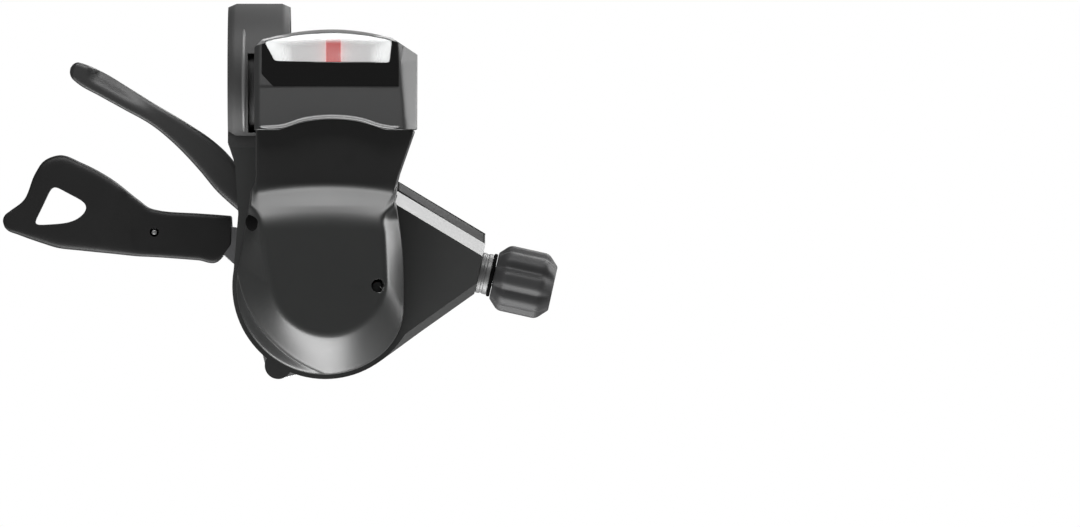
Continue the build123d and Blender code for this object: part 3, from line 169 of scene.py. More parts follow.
def addMix(tree, kind, factor, first, second):
    node = tree.nodes.new("ShaderNodeMix")
    node.data_type = kind
    feed(tree, node, {"Factor": factor, "A": first, "B": second})
    return node.outputs["Result"]


def addRange(tree, value, low, high, toLow=0.0, toHigh=1.0, kind="SMOOTHSTEP"):
    node = tree.nodes.new("ShaderNodeMapRange")
    node.interpolation_type = kind
    feed(tree, node, {"Value": value, "From Min": low, "From Max": high, "To Min": toLow, "To Max": toHigh})
    return node.outputs["Result"]


def addGroup(tree, group, values):
    node = tree.nodes.new("ShaderNodeGroup")
    node.node_tree = group
    feed(tree, node, values)
    return node


# place of a point from the left and from below, in millimetres
def addPlace(tree, place):
    axes = tree.nodes.new("ShaderNodeSeparateXYZ")
    feed(tree, axes, {"Vector": place})
    return [addMath(tree, "MULTIPLY", axes.outputs[label], 1 / mm) for label in "XZ"]


# height over a line that bows down from its middle with the square of the distance
def addBow(tree, x, z, middle, bow):
    away = addMath(tree, "ABSOLUTE", addMath(tree, "SUBTRACT", x, middle), 0.0)
    return addMath(tree, "ADD", z, addMath(tree, "MULTIPLY", addMath(tree, "POWER", away, 2.0), bow))


# colour from a level of grey, or from red, green and blue
def tone(value):
    return (*value, 1.0) if isinstance(value, tuple) else (value, value, value, 1.0)


# shared shader group: it reads a place and some sizes, and puts out values
def newGroup(name, inputs, outputs):
    tree = bpy.data.node_groups.new(name, "ShaderNodeTree")
    tree.interface.new_socket("Place", in_out="INPUT", socket_type="NodeSocketVector")
    for label, value in inputs.items():
        socket = tree.interface.new_socket(label, in_out="INPUT", socket_type="NodeSocketFloat")
        socket.default_value = value
    for label in outputs:
        tree.interface.new_socket(label, in_out="OUTPUT", socket_type="NodeSocketFloat")
    return tree, tree.nodes.new("NodeGroupInput"), tree.nodes.new("NodeGroupOutput")


def addNoise(tree, start, size, detail, roughness):
    node = tree.nodes.new("ShaderNodeTexNoise")
    feed(tree, node, {"Vector": start.outputs["Place"], "Scale": start.outputs[size], "Detail": detail,
                      "Roughness": roughness})
    return node.outputs["Fac"]


# moulded grain: two sizes of noise, one fine for the skin and one broad for colour drift
def makeGrainGroup():
    tree, start, end = newGroup("mouldGrain", {"Grain Size": 4000.0, "Drift Size": 120.0}, ("Height", "Drift"))
    feed(tree, end, {"Height": addNoise(tree, start, "Grain Size", detail=3.0, roughness=0.6),
                     "Drift": addNoise(tree, start, "Drift Size", detail=5.0, roughness=0.5)})
    return tree


# rubbed places: broad noise cut to small islands, for fingertips' shine and faint scuffs
def makeRubGroup():
    tree, start, end = newGroup("handlingRub", {"Size": 260.0, "Level": 0.56, "Softness": 0.12}, ("Mask",))
    noise = addNoise(tree, start, "Size", detail=6.0, roughness=0.65)
    top = addMath(tree, "ADD", start.outputs["Level"], start.outputs["Softness"])
    feed(tree, end, {"Mask": addRange(tree, noise, start.outputs["Level"], top)})
    return tree


grainGroup = makeGrainGroup()
rubGroup = makeRubGroup()
print("shader groups ready")


# what a finish has unless it says otherwise; sizes are turns per metre, the grain's depth is in metres
usual = {"grainSize": 4000.0, "driftSize": 120.0, "rubSize": 260.0, "rubLevel": 0.58, "roughSwing": 0.08,
         "bump": 0.15, "grainDepth": 0.00002, "metallic": 0.0, "specular": 0.5}


def newMaterial(name):
    material = bpy.data.materials.new(name)
    material.use_nodes = True
    tree = material.node_tree
    return material, tree, tree.nodes["Principled BSDF"]


# a finish: base colour drifting to a second tone, roughness drifting with it, fine bump, rubbed patches;
# a zone above a level and left of a line can have a darker colour and more roughness; on the cover's neck that colour
# is painted shade
def makeFinish(name, own):
    look = {**usual, **own}
    material, tree, shader = newMaterial(name)
    place = tree.nodes.new("ShaderNodeTexCoord").outputs["Object"]
    grain = addGroup(tree, grainGroup, {"Place": place, "Grain Size": look["grainSize"], "Drift Size": look["driftSize"]})
    rub = addGroup(tree, rubGroup, {"Place": place, "Size": look["rubSize"], "Level": look["rubLevel"]})
    colour = addMix(tree, "RGBA", grain.outputs["Drift"], tone(look["colour"]), tone(look["second"]))
    swing = look["roughSwing"] / 2
    mixed = addMath(tree, "MULTIPLY", addMath(tree, "ADD", grain.outputs["Drift"], rub.outputs["Mask"]), 0.5)
    skin = addRange(tree, mixed, 0.0, 1.0, look["roughness"] + swing, look["roughness"] - swing, "LINEAR")
    if "zone" in look:
        zone = look["zone"]
        x, z = addPlace(tree, place)
        rise = addRange(tree, z, zone["above"] - zone["blur"], zone["above"] + zone["blur"])
        inZone = addMath(tree, "MULTIPLY", rise, addMath(tree, "LESS_THAN", x, zone["leftOf"]))
        skin = addMath(tree, "ADD", skin, addMath(tree, "MULTIPLY", inZone, zone["rougher"]))
        colour = addMix(tree, "RGBA", inZone, colour, tone(zone["colour"]))
    bump = tree.nodes.new("ShaderNodeBump")
    feed(tree, bump, {"Strength": look["bump"], "Distance": look["grainDepth"], "Height": grain.outputs["Height"]})
    feed(tree, shader, {"Base Color": colour, "Roughness": skin, "Metallic": look["metallic"],
                        "Specular IOR Level": look["specular"], "Normal": bump.outputs["Normal"]})
    # a glow, where given, is painted light: the part shines of itself though it is no lamp
    if "glow" in look:
        feed(tree, shader, {"Emission Color": colour, "Emission Strength": look["glow"]})
    return material


finishes = {
    "bracket_paint": {"colour": (0.011, 0.0115, 0.0115), "second": (0.016, 0.0165, 0.016), "roughness": 0.4,
                      "grainSize": 2600.0, "bump": 0.22, "specular": 0.55,
                      "zone": {"above": -13.6, "blur": 0.1, "leftOf": 7.0, "rougher": 0.24, "colour": 0.006}},
    "cover_shell": {"colour": (0.008, 0.0085, 0.0085), "second": (0.012, 0.0125, 0.012), "roughness": 0.38,
                    "grainSize": 5200.0, "bump": 0.12,
                    # the neck above the shoulder darker: painted shade
                    "zone": {"above": -21.2, "blur": 1.0, "leftOf": 40.0, "rougher": 0.02, "colour": 0.0028}},
    # dial and needle glow a little: painted light that brightens them in the housing's shade
    "dial": {"colour": 0.84, "second": 0.90, "roughness": 0.45, "bump": 0.03, "glow": 0.4},
    "needle": {"colour": (0.80, 0.06, 0.06), "second": (0.86, 0.08, 0.075), "roughness": 0.42, "bump": 0.03, "glow": 0.4},
    "steel": {"colour": (0.42, 0.42, 0.43), "second": 0.50, "roughness": 0.36, "metallic": 1.0},
    "dark_steel": {"colour": (0.10, 0.10, 0.105), "second": 0.15, "roughness": 0.38, "metallic": 1.0},
    "spring_steel": {"colour": (0.42, 0.42, 0.43), "second": 0.50, "roughness": 0.28, "metallic": 1.0},
    "inner_plastic": {"colour": (0.36, 0.37, 0.37), "second": 0.42, "roughness": 0.5},
    "lever_steel": {"colour": (0.20, 0.20, 0.21), "second": 0.27, "roughness": 0.36, "metallic": 1.0},
    "lever_plastic": {"colour": 0.004, "second": 0.007, "roughness": 0.46,
                      "grainSize": 6000.0, "bump": 0.05, "specular": 0.18},
    "rear_shell": {"colour": 0.012, "second": 0.018, "roughness": 0.48, "bump": 0.2},
    # near-black and nearly without sheen: the side plug, also standing as painted shade in its notch, and painted shade
    # in the gap by the knob
    "plug_rubber": {"colour": 0.001, "second": 0.003, "roughness": 0.9, "specular": 0.02},
    "collar": {"colour": 0.07, "second": 0.11, "roughness": 0.42, "metallic": 0.2},
    "knob": {"colour": (0.017, 0.017, 0.018), "second": 0.025, "roughness": 0.5, "bump": 0.12, "specular": 0.22},
    "blade": {"colour": 0.004, "second": 0.007, "roughness": 0.5,
              "roughSwing": 0.02, "grainSize": 700.0, "bump": 0.01},
    # light grey for the bead under the display: painted highlight
    "lip": {"colour": 0.12, "second": 0.18, "roughness": 0.4, "metallic": 0.2, "bump": 0.1},
    "display": {"colour": (0.010, 0.0105, 0.0105), "second": 0.014, "roughness": 0.42, "grainSize": 5200.0,
                "bump": 0.12},
}
materialOf = {slot: makeFinish("finish_" + slot, look) for slot, look in finishes.items()}


# window pane in a white finish: nearly see-through in the middle, turning white toward both ends and the bowed top as
# painted light over the dial and the housing's shade, and faint smears
lens = {"left": 4.2, "right": 24.0, "top": 7.2, "middleX": 14.4, "bow": 0.0101, "blur": 3.0, "topSteep": 2.5,
        "clear": 0.03, "whiteBorder": 0.8, "smear": 0.03, "smearSize": 300.0, "colour": (0.80, 0.81, 0.81), "roughness": 0.2}


def makeLens():
    look = lens
    material, tree, shader = newMaterial("finish_lens")
    place = tree.nodes.new("ShaderNodeTexCoord").outputs["Object"]
    rub = addGroup(tree, rubGroup, {"Place": place, "Size": look["smearSize"]})
    x, z = addPlace(tree, place)
    height = addMath(tree, "SUBTRACT", addBow(tree, x, z, look["middleX"], look["bow"]), look["top"])
    ends = addMath(tree, "MAXIMUM", addMath(tree, "SUBTRACT", look["left"], x),
                   addMath(tree, "SUBTRACT", x, look["right"]))
    border = addMath(tree, "MAXIMUM", ends, addMath(tree, "MULTIPLY", height, look["topSteep"]))
    # white veil: painted light laid over the dial where the housing shades it
    veil = addRange(tree, border, -look["blur"], look["blur"], look["clear"], look["whiteBorder"])
    smear = addMath(tree, "MULTIPLY", rub.outputs["Mask"], look["smear"])
    feed(tree, shader, {"Base Color": tone(look["colour"]), "Roughness": look["roughness"],
                        "Alpha": addMath(tree, "ADD", veil, smear)})
    return material


materialOf["lens"] = makeLens()


# display front: charcoal plate, with a black gloss inlay above a level and right of a slanted corner,
# and a grey crown above a bowed line
inlay = {"low": -2.15, "left": 0.7, "right": 27.0, "cornerX": 1.4, "cornerZ": -0.5, "cornerSlope": 1.06, "blur": 0.12,
         "black": 0.0025, "gloss": 0.16, "crownX": 14.4, "crownBow": 0.0101, "crownZ": 7.9, "crownGrey": 0.12}


def paintDisplay(material):
    look = inlay
    tree = material.node_tree
    shader = tree.nodes["Principled BSDF"]
    x, z = addPlace(tree, tree.nodes["Texture Coordinate"].outputs["Object"])
    slant = addMath(tree, "ADD", z, addMath(tree, "MULTIPLY", x, look["cornerSlope"]))
    reach = addMath(tree, "SUBTRACT", slant, look["cornerZ"] + look["cornerSlope"] * look["cornerX"])
    for first, second in ((z, look["low"]), (x, look["left"]), (look["right"], x)):
        reach = addMath(tree, "MINIMUM", reach, addMath(tree, "SUBTRACT", first, second))
    inside = addRange(tree, reach, -look["blur"], look["blur"])
    crown = addMath(tree, "GREATER_THAN", addBow(tree, x, z, look["crownX"], look["crownBow"]), look["crownZ"])
    for mask, label, kind, value in ((inside, "Base Color", "RGBA", tone(look["black"])),
                                     (inside, "Roughness", "FLOAT", look["gloss"]),
                                     (crown, "Base Color", "RGBA", tone(look["crownGrey"]))):
        before = shader.inputs[label].links[0].from_socket
        feed(tree, shader, {label: addMix(tree, kind, mask, before, value)})


paintDisplay(materialOf["display"])
slotOf = {part["node"]: part["material_slot"] for part in frame["record"]["subparts"]}
rounding = {"weld": 0.00001, "flat": math.radians(0.6), "angle": math.radians(32), "segments": 3, "edge": 0.12}
edgeOf = {"base_bracket": 0.35, "indicator_housing": 0.35, "rear_cover": 0.3, "adjuster_bush": 0.2}
for node, piece in frame["nodes"].items():
    piece.data.materials.clear()
    piece.data.materials.append(materialOf["dark_steel" if node == "paddle_rivet" else slotOf[node]])
    weld = piece.modifiers.new("weld", "WELD")
    weld.merge_threshold = rounding["weld"]
    flat = piece.modifiers.new("flat", "DECIMATE")
    flat.decimate_type = "DISSOLVE"
    flat.angle_limit = rounding["flat"]
    bevel = piece.modifiers.new("edge", "BEVEL")
    bevel.width = edgeOf.get(node, rounding["edge"]) * mm
    bevel.segments = rounding["segments"]
    bevel.limit_method = "ANGLE"
    bevel.angle_limit = rounding["angle"]
    bevel.harden_normals = True
    normal = piece.modifiers.new("normal", "WEIGHTED_NORMAL")
    normal.keep_sharp = True
print("finishes on", len(frame["nodes"]), "nodes")


def smoothStep(value, low, high):
    share = np.clip((value - low) / (high - low), 0, 1)
    return share ** 2 * (3 - 2 * share)


# points from places seen from the front and their depths
def upright(flat, y):
    return np.stack([flat[..., 0], np.broadcast_to(y, flat.shape[:-1]), flat[..., 1]], axis=-1)


# directions at some angles, seen from the front
def toward(turn):
    return np.stack([np.cos(turn), np.sin(turn)], axis=-1)


# even steps once round
def fullTurn(count):
    return np.linspace(0, 2 * np.pi, count, endpoint=False)


# cover skin, in place of the plain shell. Rows run from the left edge over a middle line to the right edge.
# A row's side view is: wall, lip, step, slanted bevel, then the face, whose depth is a curve over height.
coverSkin = {"middleX": 13.0, "faceForward": 24.0, "wall": 1.3, "screwHole": (23.05, -40.3, 1.3), "holesFromY": -15.9,
             "slopeHeights": (-30.0, -26.8, -23.1, -21.4, -12.5, -8.0), "slopes": (0.0, 0.46, 0.62, -0.07, -0.07, -0.06),
             "scan": (-60.0, -6.0, 2000), "archRise": 1.1, "archHalf": 13.0, "archFromZ": -31.0, "archRun": 6.0,
             "rimForward": 16.0, "bevelFromZ": -24.6, "bevelRun": 3.4, "bevelBow": 0.45, "bowHeights": (-30.0, -25.0),
             "backHeights": (-24.1, -18.6), "backDepths": (8.05, 14.5), "edgeRound": 1.0, "rootRound": 0.7,
             "softHeights": (-25.0, -21.0), "softShares": (1.0, 0.3), "nearShare": 0.25, "sideBow": 0.55,
             "lipWidth": 2.5, "lipFrom": 172.0, "lipTurn": 98.0, "lipPower": 0.8, "lipLimit": 0.8, "lipTop": 0.50,
             "lipRoot": 0.58, "lipReach": 0.9, "lipRounds": (0.5, 0.12), "spans": (4, 2, 1, 9), "curveSteps": 7,
             "faceSteps": 34, "rows": (24, 30, 22, 44, 40, 34)}
coverCircles = {"case": ((12.75, -40.4), 17.0), "corner": ((15.9, -44.28), 12.0), "face": ((13.4, -38.6), 10.9)}

# the cover's lines from the top down, seen from the front, in one part for each count of rows:
# the corners of a line, or a circle with the angles where its arc starts and ends
coverLines = {
    "middle": (((13.0, -13.0), (13.0, -13.0)), ((13.0, -13.0), (13.0, -19.0)), ((13.0, -19.0), (13.0, -25.0)),
               ((13.0, -25.0), (13.0, -38.0)), ((13.0, -38.0), (13.0, -38.0)), ((13.0, -38.0), (13.0, -38.0))),
    "rightOutline": (((13.0, -8.0), (28.4, -8.0)), ((28.4, -8.0), (29.0, -10.0), (30.1, -10.7), (27.25, -18.8)),
                     ((27.25, -18.8), (26.8, -20.4), (26.3, -24.0)), ((26.3, -24.0), (27.9, -44.28)),
                     ("corner", 0, -50.9), ("case", -50.9, -90)),
    "rightFace": (((13.0, -8.3), (28.1, -8.3)), ((28.1, -8.3), (28.7, -10.2), (29.8, -10.9), (26.95, -18.8)),
                  ((26.95, -18.8), (25.9, -22.5), (23.7, -26.3)), ((23.7, -26.3), (24.3, -38.6)),
                  ("face", 0, -50.9), ("face", -50.9, -90)),
    "leftOutline": (((13.0, -8.0), (-0.5, -8.0)), ((-0.5, -8.0), (-0.5, -19.2)),
                    ((-0.5, -19.2), (-0.6, -20.6), (-1.4, -22.2), (-1.6, -24.0)), ((-1.6, -24.0), (-3.67, -36.0)),
                    ("case", 165, 220), ("case", 220, 270)),
    "leftFace": (((13.0, -8.3), (-0.2, -8.3)), ((-0.2, -8.3), (-0.2, -19.2)),
                 ((-0.2, -19.2), (-0.25, -21.5), (-0.2, -25.0)), ((-0.2, -25.0), (0.45, -29.0), (2.58, -39.93)),
                 ("face", 187, 230.5), ("face", 230.5, 270)),
}


# even steps along a line with corners
def alongLine(corners, count):
    corners = np.array(corners, dtype=float)
    reach = np.concatenate([[0.0], np.cumsum(np.hypot(*np.diff(corners, axis=0).T))])
    steps = np.linspace(0.0, reach[-1], count, endpoint=False)
    return np.stack([np.interp(steps, reach, corners[:, 0]), np.interp(steps, reach, corners[:, 1])], axis=-1)


# even steps along a circle, angles in degrees
def alongArc(centre, radius, start, end, count, last):
    return np.array(centre) + radius * toward(np.radians(np.linspace(start, end, count, endpoint=last)))


def coverLine(name):
    parts = []
    for part, count in zip(coverLines[name], coverSkin["rows"]):
        if part[0] in coverCircles:
            last = part is coverLines[name][-1]
            parts.append(alongArc(*coverCircles[part[0]], *part[1:], count, last))
        else:
            parts.append(alongLine(part, count))
    return np.concatenate(parts)


# depth of the cover in front of the axis plane: slope over height, added up from the flat face upwards,
# over the shoulder, the bright band, the crease and the valley to the top
def coverForward(flat):
    look = coverSkin
    x, z = flat[..., 0], flat[..., 1]
    heights = np.linspace(*look["scan"])
    slope = np.interp(heights, look["slopeHeights"], look["slopes"])
    depth = look["faceForward"] - np.cumsum(slope) * (heights[1] - heights[0])
    arch = look["archRise"] * (1 - ((x - look["middleX"]) / look["archHalf"]) ** 2)
    arch = arch * np.clip((z - look["archFromZ"]) / look["archRun"], 0, 1)
    return np.interp(z - arch, heights, depth)


# corners of a section rounded by curves of three points, with even steps on the straight spans before them;
# a curve takes at most a given share of a span
def roundedSection(corners, cuts, steps, spans, most=0.48):
    columns = [corners[0][:, None, :]]
    share = np.linspace(0.0, 1.0, steps)[None, :, None]
    for before, corner, after, cut, span in zip(corners[:-2], corners[1:-1], corners[2:], cuts, spans):
        back = before - corner
        on = after - corner
        backLength = np.linalg.norm(back, axis=1, keepdims=True) + 1e-9
        onLength = np.linalg.norm(on, axis=1, keepdims=True) + 1e-9
        start = corner + back / backLength * np.minimum(cut, most * backLength)
        end = corner + on / onLength * np.minimum(cut, most * onLength)
        curve = ((1 - share) ** 2 * start[:, None] + 2 * share * (1 - share) * corner[:, None]
                 + share ** 2 * end[:, None])
        last = columns[-1][:, -1:]
        straight = np.linspace(0.0, 1.0, span + 1, endpoint=False)[None, 1:, None]
        columns.append(last + (start[:, None] - last) * straight)
        columns.append(curve)
    return np.concatenate(columns, axis=1)


# one half of the cover: outline, face edge and middle line are matched row by row
def coverHalf(outline, faceEdge, middle, rimForward, lip):
    look = coverSkin
    back = np.interp(outline[:, 1], look["backHeights"], look["backDepths"])
    faceDepth = coverForward(faceEdge)
    inward = faceEdge - outline
    width = np.linalg.norm(inward, axis=1, keepdims=True)
    share = np.minimum(lip[:, None] / width, look["lipLimit"])
    root = outline + inward * share
    rim = rimForward + (faceDepth - rimForward) * share[:, 0]
    lipTop = back + look["lipTop"] * (rimForward - back)
    lipRoot = back + look["lipRoot"] * (rimForward - back)
    near = faceEdge + (middle - faceEdge) * look["nearShare"]
    corners = [upright(outline, -back), upright(outline, -lipTop),
               upright(outline + inward * share * look["lipReach"], -lipRoot), upright(root, -rim),
               upright(faceEdge, -faceDepth), upright(near, -coverForward(near))]
    soft = look["edgeRound"] * np.interp(outline[:, 1:], look["softHeights"], look["softShares"])
    rounds = (*look["lipRounds"], soft * look["rootRound"], soft)
    section = roundedSection(corners, rounds, look["curveSteps"], look["spans"])
    bevelColumns = look["spans"][-1] + look["curveSteps"] + 1
    bow = np.interp(outline[:, 1], look["bowHeights"], (look["bevelBow"], 0.0))
    bulge = np.sin(np.linspace(0.0, np.pi, bevelColumns))[None, :, None] * bow[:, None, None]
    normal = np.cross(corners[4] - corners[3], np.gradient(corners[4], axis=0))
    normal /= np.linalg.norm(normal, axis=1, keepdims=True) + 1e-9
    normal *= -np.sign(normal[:, 1:2])
    section[:, -bevelColumns:] += bulge * normal[:, None]
    start = section[:, -1]
    steps = np.linspace(0.0, 1.0, look["faceSteps"])[1:]
    flat = start[:, None, [0, 2]] + (middle - start[:, [0, 2]])[:, None] * steps[None, :, None]
    return np.concatenate([section, upright(flat, -coverForward(flat))], axis=1)


def makeCoverSkin():
    look = coverSkin
    sideFrom, sideRows = sum(look["rows"][:3]), look["rows"][3]
    middle, leftOutline, rightOutline = (coverLine(name) for name in ("middle", "leftOutline", "rightOutline"))
    rightOutline[sideFrom:sideFrom + sideRows, 0] += look["sideBow"] * np.sin(np.linspace(0, np.pi, sideRows))
    caseX, caseZ = coverCircles["case"][0]
    around = np.degrees(np.arctan2(leftOutline[:, 1] - caseZ, leftOutline[:, 0] - caseX)) % 360
    share = np.clip((around - look["lipFrom"]) / look["lipTurn"], 0, 1)
    lip = look["lipWidth"] * np.sin(np.pi * share) ** look["lipPower"]
    lip[:sideFrom] = 0.0
    halves = []
    for outline, name, width in ((leftOutline, "leftFace", lip), (rightOutline, "rightFace", 0 * lip)):
        faceEdge = coverLine(name)
        soft = coverForward(faceEdge) - look["edgeRound"]
        turnDown = smoothStep(look["bevelFromZ"] - outline[:, 1], 0, look["bevelRun"])
        rimForward = soft + (look["rimForward"] - soft) * turnDown
        halves.append(coverHalf(outline, faceEdge, middle, rimForward, width))
    left, right = halves
    return np.concatenate([left, right[:, -2::-1]], axis=1)


# finish, body and slot of a new piece, and the nodes that it stands for
def dress(piece, slot, body, *nodes, finish=None):
    piece.data.materials.append(materialOf[finish or slot])
    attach(piece, body)
    if nodes:
        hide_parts(*nodes)


holeX, holeZ, holeRadius = coverSkin["screwHole"]
screwHole = (holeX, holeZ, coverSkin["holesFromY"], lambda angle: np.full_like(angle, holeRadius))
skin = gridPiece("coverSkin", makeCoverSkin(), holes=[screwHole])
seam = skin.modifiers.new("seam", "WELD")
seam.merge_threshold = joins["seam"] * mm
thicken(skin, coverSkin["wall"])
dress(skin, "cover_shell", "bracket", "main_cover")


# near-black egg in the cover's left side, its flat way across the side's slope: the rubber plug, and painted shade in
# the notch around it
sidePlugAndShade = {"at": (-0.95, -19.9, -28.1), "slope": 70.0, "radii": (3.6, 0.95, 1.75), "rings": 24, "turns": 40}


def makeSidePlugAndShade():
    look = sidePlugAndShade
    rise = np.linspace(-np.pi / 2, np.pi / 2, look["rings"])[:, None]
    turn = fullTurn(look["turns"])[None, :]
    along = look["radii"][0] * np.cos(rise) * np.cos(turn)
    out = look["radii"][1] * np.cos(rise) * np.sin(turn)
    up = look["radii"][2] * np.sin(rise) + 0 * turn
    slope = math.radians(look["slope"])
    x = along * math.cos(slope) - out * math.sin(slope)
    y = -along * math.sin(slope) - out * math.cos(slope)
    return np.array(look["at"]) + np.stack([x, y, up], axis=-1)


plugAndShadePiece = gridPiece("entryPlugAndShade", makeSidePlugAndShade(), wrapColumns=True)
dress(plugAndShadePiece, "plug_rubber", "bracket")
print("cover skin:", len(skin.data.polygons), "faces")


# smooth curve through knots at given shares of the way: cubic pieces whose slopes come from the neighbours
def throughKnots(shares, knots, steps):
    shares = np.array(shares, dtype=float)
    knots = np.array(knots, dtype=float)
    slopes = np.gradient(knots, shares, axis=0)
    piece = np.clip(np.searchsorted(shares, steps, side="right") - 1, 0, len(shares) - 2)
    span = (shares[piece + 1] - shares[piece])[:, None]
    t = ((steps - shares[piece]) / span[:, 0])[:, None]
    return ((2 * t ** 3 - 3 * t ** 2 + 1) * knots[piece] + (t ** 3 - 2 * t ** 2 + t) * span * slopes[piece]
            + (3 * t ** 2 - 2 * t ** 3) * knots[piece + 1] + (t ** 3 - t ** 2) * span * slopes[piece + 1])


# rounded box section: sine and cosine bent towards the corners, in even steps round a section of this aspect
def boxSection(count, square, aspect):
    turn = np.linspace(0, 2 * np.pi, 20001)
    across = np.sign(np.cos(turn)) * np.abs(np.cos(turn)) ** square
    depth = np.sign(np.sin(turn)) * np.abs(np.sin(turn)) ** square
    reach = np.concatenate([[0.0], np.cumsum(np.hypot(np.diff(across) * aspect, np.diff(depth)))])
    even = np.linspace(0, reach[-1], count, endpoint=False)
    return np.interp(even, reach, across), np.interp(even, reach, depth)


# rounded box section carried between an upper and a lower edge, drawn in round at the tip and by end's share
def carryBox(look, steps, end):
    top, low = (throughKnots(look["shares"], look[edge], steps)[:, None] for edge in ("top", "low"))
    across, depth = boxSection(look["ring"], look["square"], look["aspect"])
    tip = np.sqrt(1 - np.clip(1 - steps / look["tipShare"], 0, 1) ** 2)
    flat = (top + low) / 2 + (top - low) / 2 * (across * (tip * end)[:, None])[..., None]
    half = (look["backY"] - look["frontY"]) / 2
    thick = look["tipDepth"] + (1 - look["tipDepth"]) * tip
    y = look["frontY"] + half - half * depth * thick[:, None] * end[:, None]
    return flat, y, depth, across


# release lever blade: rounded box section carried along between its two edges; near the finger end
# the upper half of the front leans back and carries shallow lengthwise grooves
blade = {"shares": (0.0, 0.07, 0.2, 0.35, 0.5, 0.65, 0.8, 0.9, 1.0),
         "top": ((-36.2, 3.1), (-34.0, 2.5), (-30.0, 0.7), (-25.0, -2.35), (-20.0, -5.45), (-14.5, -8.7), (-9.5, -12.05),
                 (-6.9, -14.3), (-4.6, -16.9)),
         "low": ((-37.3, 0.4), (-35.2, -1.4), (-31.2, -3.65), (-26.4, -6.3), (-21.1, -9.3), (-16.35, -13.25),
                 (-11.65, -18.25), (-8.3, -22.25), (-3.7, -26.4)),
         "frontY": 12.2, "backY": 16.4, "square": 0.36, "aspect": 1.5, "tipShare": 0.035, "tipDepth": 0.35,
         "crowding": 1.2, "lean": 1.6, "leanFrom": -0.5, "leanTo": 1.1, "grooves": 2, "grooveDepth": 0.1,
         "grooveFrom": 0.09, "grooveTo": 0.55, "fadeIn": 0.08, "fadeOut": 0.3, "faceFrom": 0.55, "faceTo": 0.95,
         "stations": 90, "ring": 72}


def makeBlade():
    look = blade
    steps = np.linspace(0.0, 1.0, look["stations"]) ** look["crowding"]
    flat, y, depth, across = carryBox(look, steps, np.ones(look["stations"]))
    fade = smoothStep(steps, look["grooveFrom"], look["grooveFrom"] + look["fadeIn"])
    fade *= 1 - smoothStep(steps, look["grooveTo"] - look["fadeOut"], look["grooveTo"])
    wave = 0.5 - 0.5 * np.cos(2 * np.pi * look["grooves"] * (across + 1) / 2)
    setback = look["lean"] * smoothStep(across, look["leanFrom"], look["leanTo"])
    setback += look["grooveDepth"] * wave * smoothStep(depth, look["faceFrom"], look["faceTo"])
    y += fade[:, None] * (setback * np.clip(depth, 0, 1))[None, :]
    return upright(flat, y)


bladePiece = gridPiece("releaseBlade", closedEnd(makeBlade()), wrapColumns=True, flip=True)
dress(bladePiece, "lever_plastic", "release_lever", "release_lever_blade", finish="blade")
print("release blade:", len(bladePiece.data.polygons), "faces")


# thumb lever paddle: rounded box section between its upper and lower edge, swept back towards the thumb,
# standing a little proud past a slanted ridge, with a three-cornered window
paddle = {"shares": (0.0, 0.06, 0.14, 0.24, 0.30, 0.36, 0.46, 0.58, 0.68, 0.735, 0.77, 0.88, 0.945, 1.0),
          "top": ((-50.0, -26.9), (-48.5, -25.8), (-45.8, -23.6), (-43.7, -18.6), (-42.0, -16.2), (-39.2, -15.1),
                  (-34.6, -16.6), (-28.6, -19.9), (-23.6, -23.8), (-21.4, -25.35), (-19.6, -25.8), (-12.2, -26.35),
                  (-8.5, -26.6), (-5.4, -26.85)),
          "low": ((-50.0, -28.6), (-49.0, -29.7), (-47.0, -30.5), (-44.0, -31.6), (-42.2, -32.2), (-39.6, -33.0),
                  (-34.6, -33.6), (-28.6, -34.2), (-23.6, -34.7), (-21.4, -34.8), (-19.6, -34.9), (-12.2, -35.45),
                  (-8.4, -35.75), (-5.5, -32.2)),
          "frontY": 16.9, "backY": 23.2, "square": 0.22, "aspect": 2.2, "tipShare": 0.03, "tipDepth": 0.4,
          "endShare": 0.99, "bendX": -25.2, "tipX": -51.2, "sweep": 2.2,
          "ridgeX": -28.4, "ridgeLean": 0.35, "ridgeWidth": 2.8, "ridgeStep": 0.45,
          "ridgeZ": -28.0, "windowCentre": (-38.9, -25.9), "windowRound": 6.0,
          "windowCorners": ((-40.4, -20.75), (-33.3, -24.5), (-33.9, -26.7), (-36.9, -28.4), (-44.2, -28.7)),
          "throughY": 100.0, "mouthSwell": 0.12, "mouthGap": 0.02, "windowWall": 0.2, "wallTurns": 180, "wallRings": 14,
          "stations": 300, "ring": 240}


# rim of a rounded polygon around its centre: the sides' distances joined by a high power
def polygonRim(corners, centre, power):
    corners = np.array(corners) - np.array(centre)
    sides = np.roll(corners, -1, axis=0) - corners
    normals = np.stack([sides[:, 1], -sides[:, 0]], axis=-1)
    normals /= np.linalg.norm(normals, axis=1, keepdims=True)
    reach = (normals * corners).sum(axis=1)
    normals *= np.sign(reach)[:, None]
    reach = np.abs(reach)

    def rimAt(angle):
        share = np.clip(toward(angle) @ normals.T, 0, None) / reach
        return (share ** power).sum(axis=-1) ** (-1 / power)
    return rimAt


# how far the front stands back at a place: sweep to the thumb end, less the step past the ridge
def paddleSetback(flat):
    look = paddle
    x, z = flat[..., 0], flat[..., 1]
    sweep = look["sweep"] * np.clip((look["bendX"] - x) / (look["bendX"] - look["tipX"]), 0, 1)
    ridge = look["ridgeX"] + look["ridgeLean"] * (z - look["ridgeZ"])
    step = -look["ridgeStep"] * (1 - smoothStep(x - ridge, -look["ridgeWidth"] / 2, look["ridgeWidth"] / 2))
    return sweep, step


def makePaddle():
    look = paddle
    steps = np.linspace(0.0, 1.0, look["stations"])
    end = np.sqrt(1 - np.clip((steps - look["endShare"]) / (1 - look["endShare"]), 0, 1) ** 4)
    flat, y, depth = carryBox(look, steps, end)[:3]
    sweep, step = paddleSetback(flat)
    y += sweep + step * np.clip(depth, 0, 1)
    return upright(flat, y)


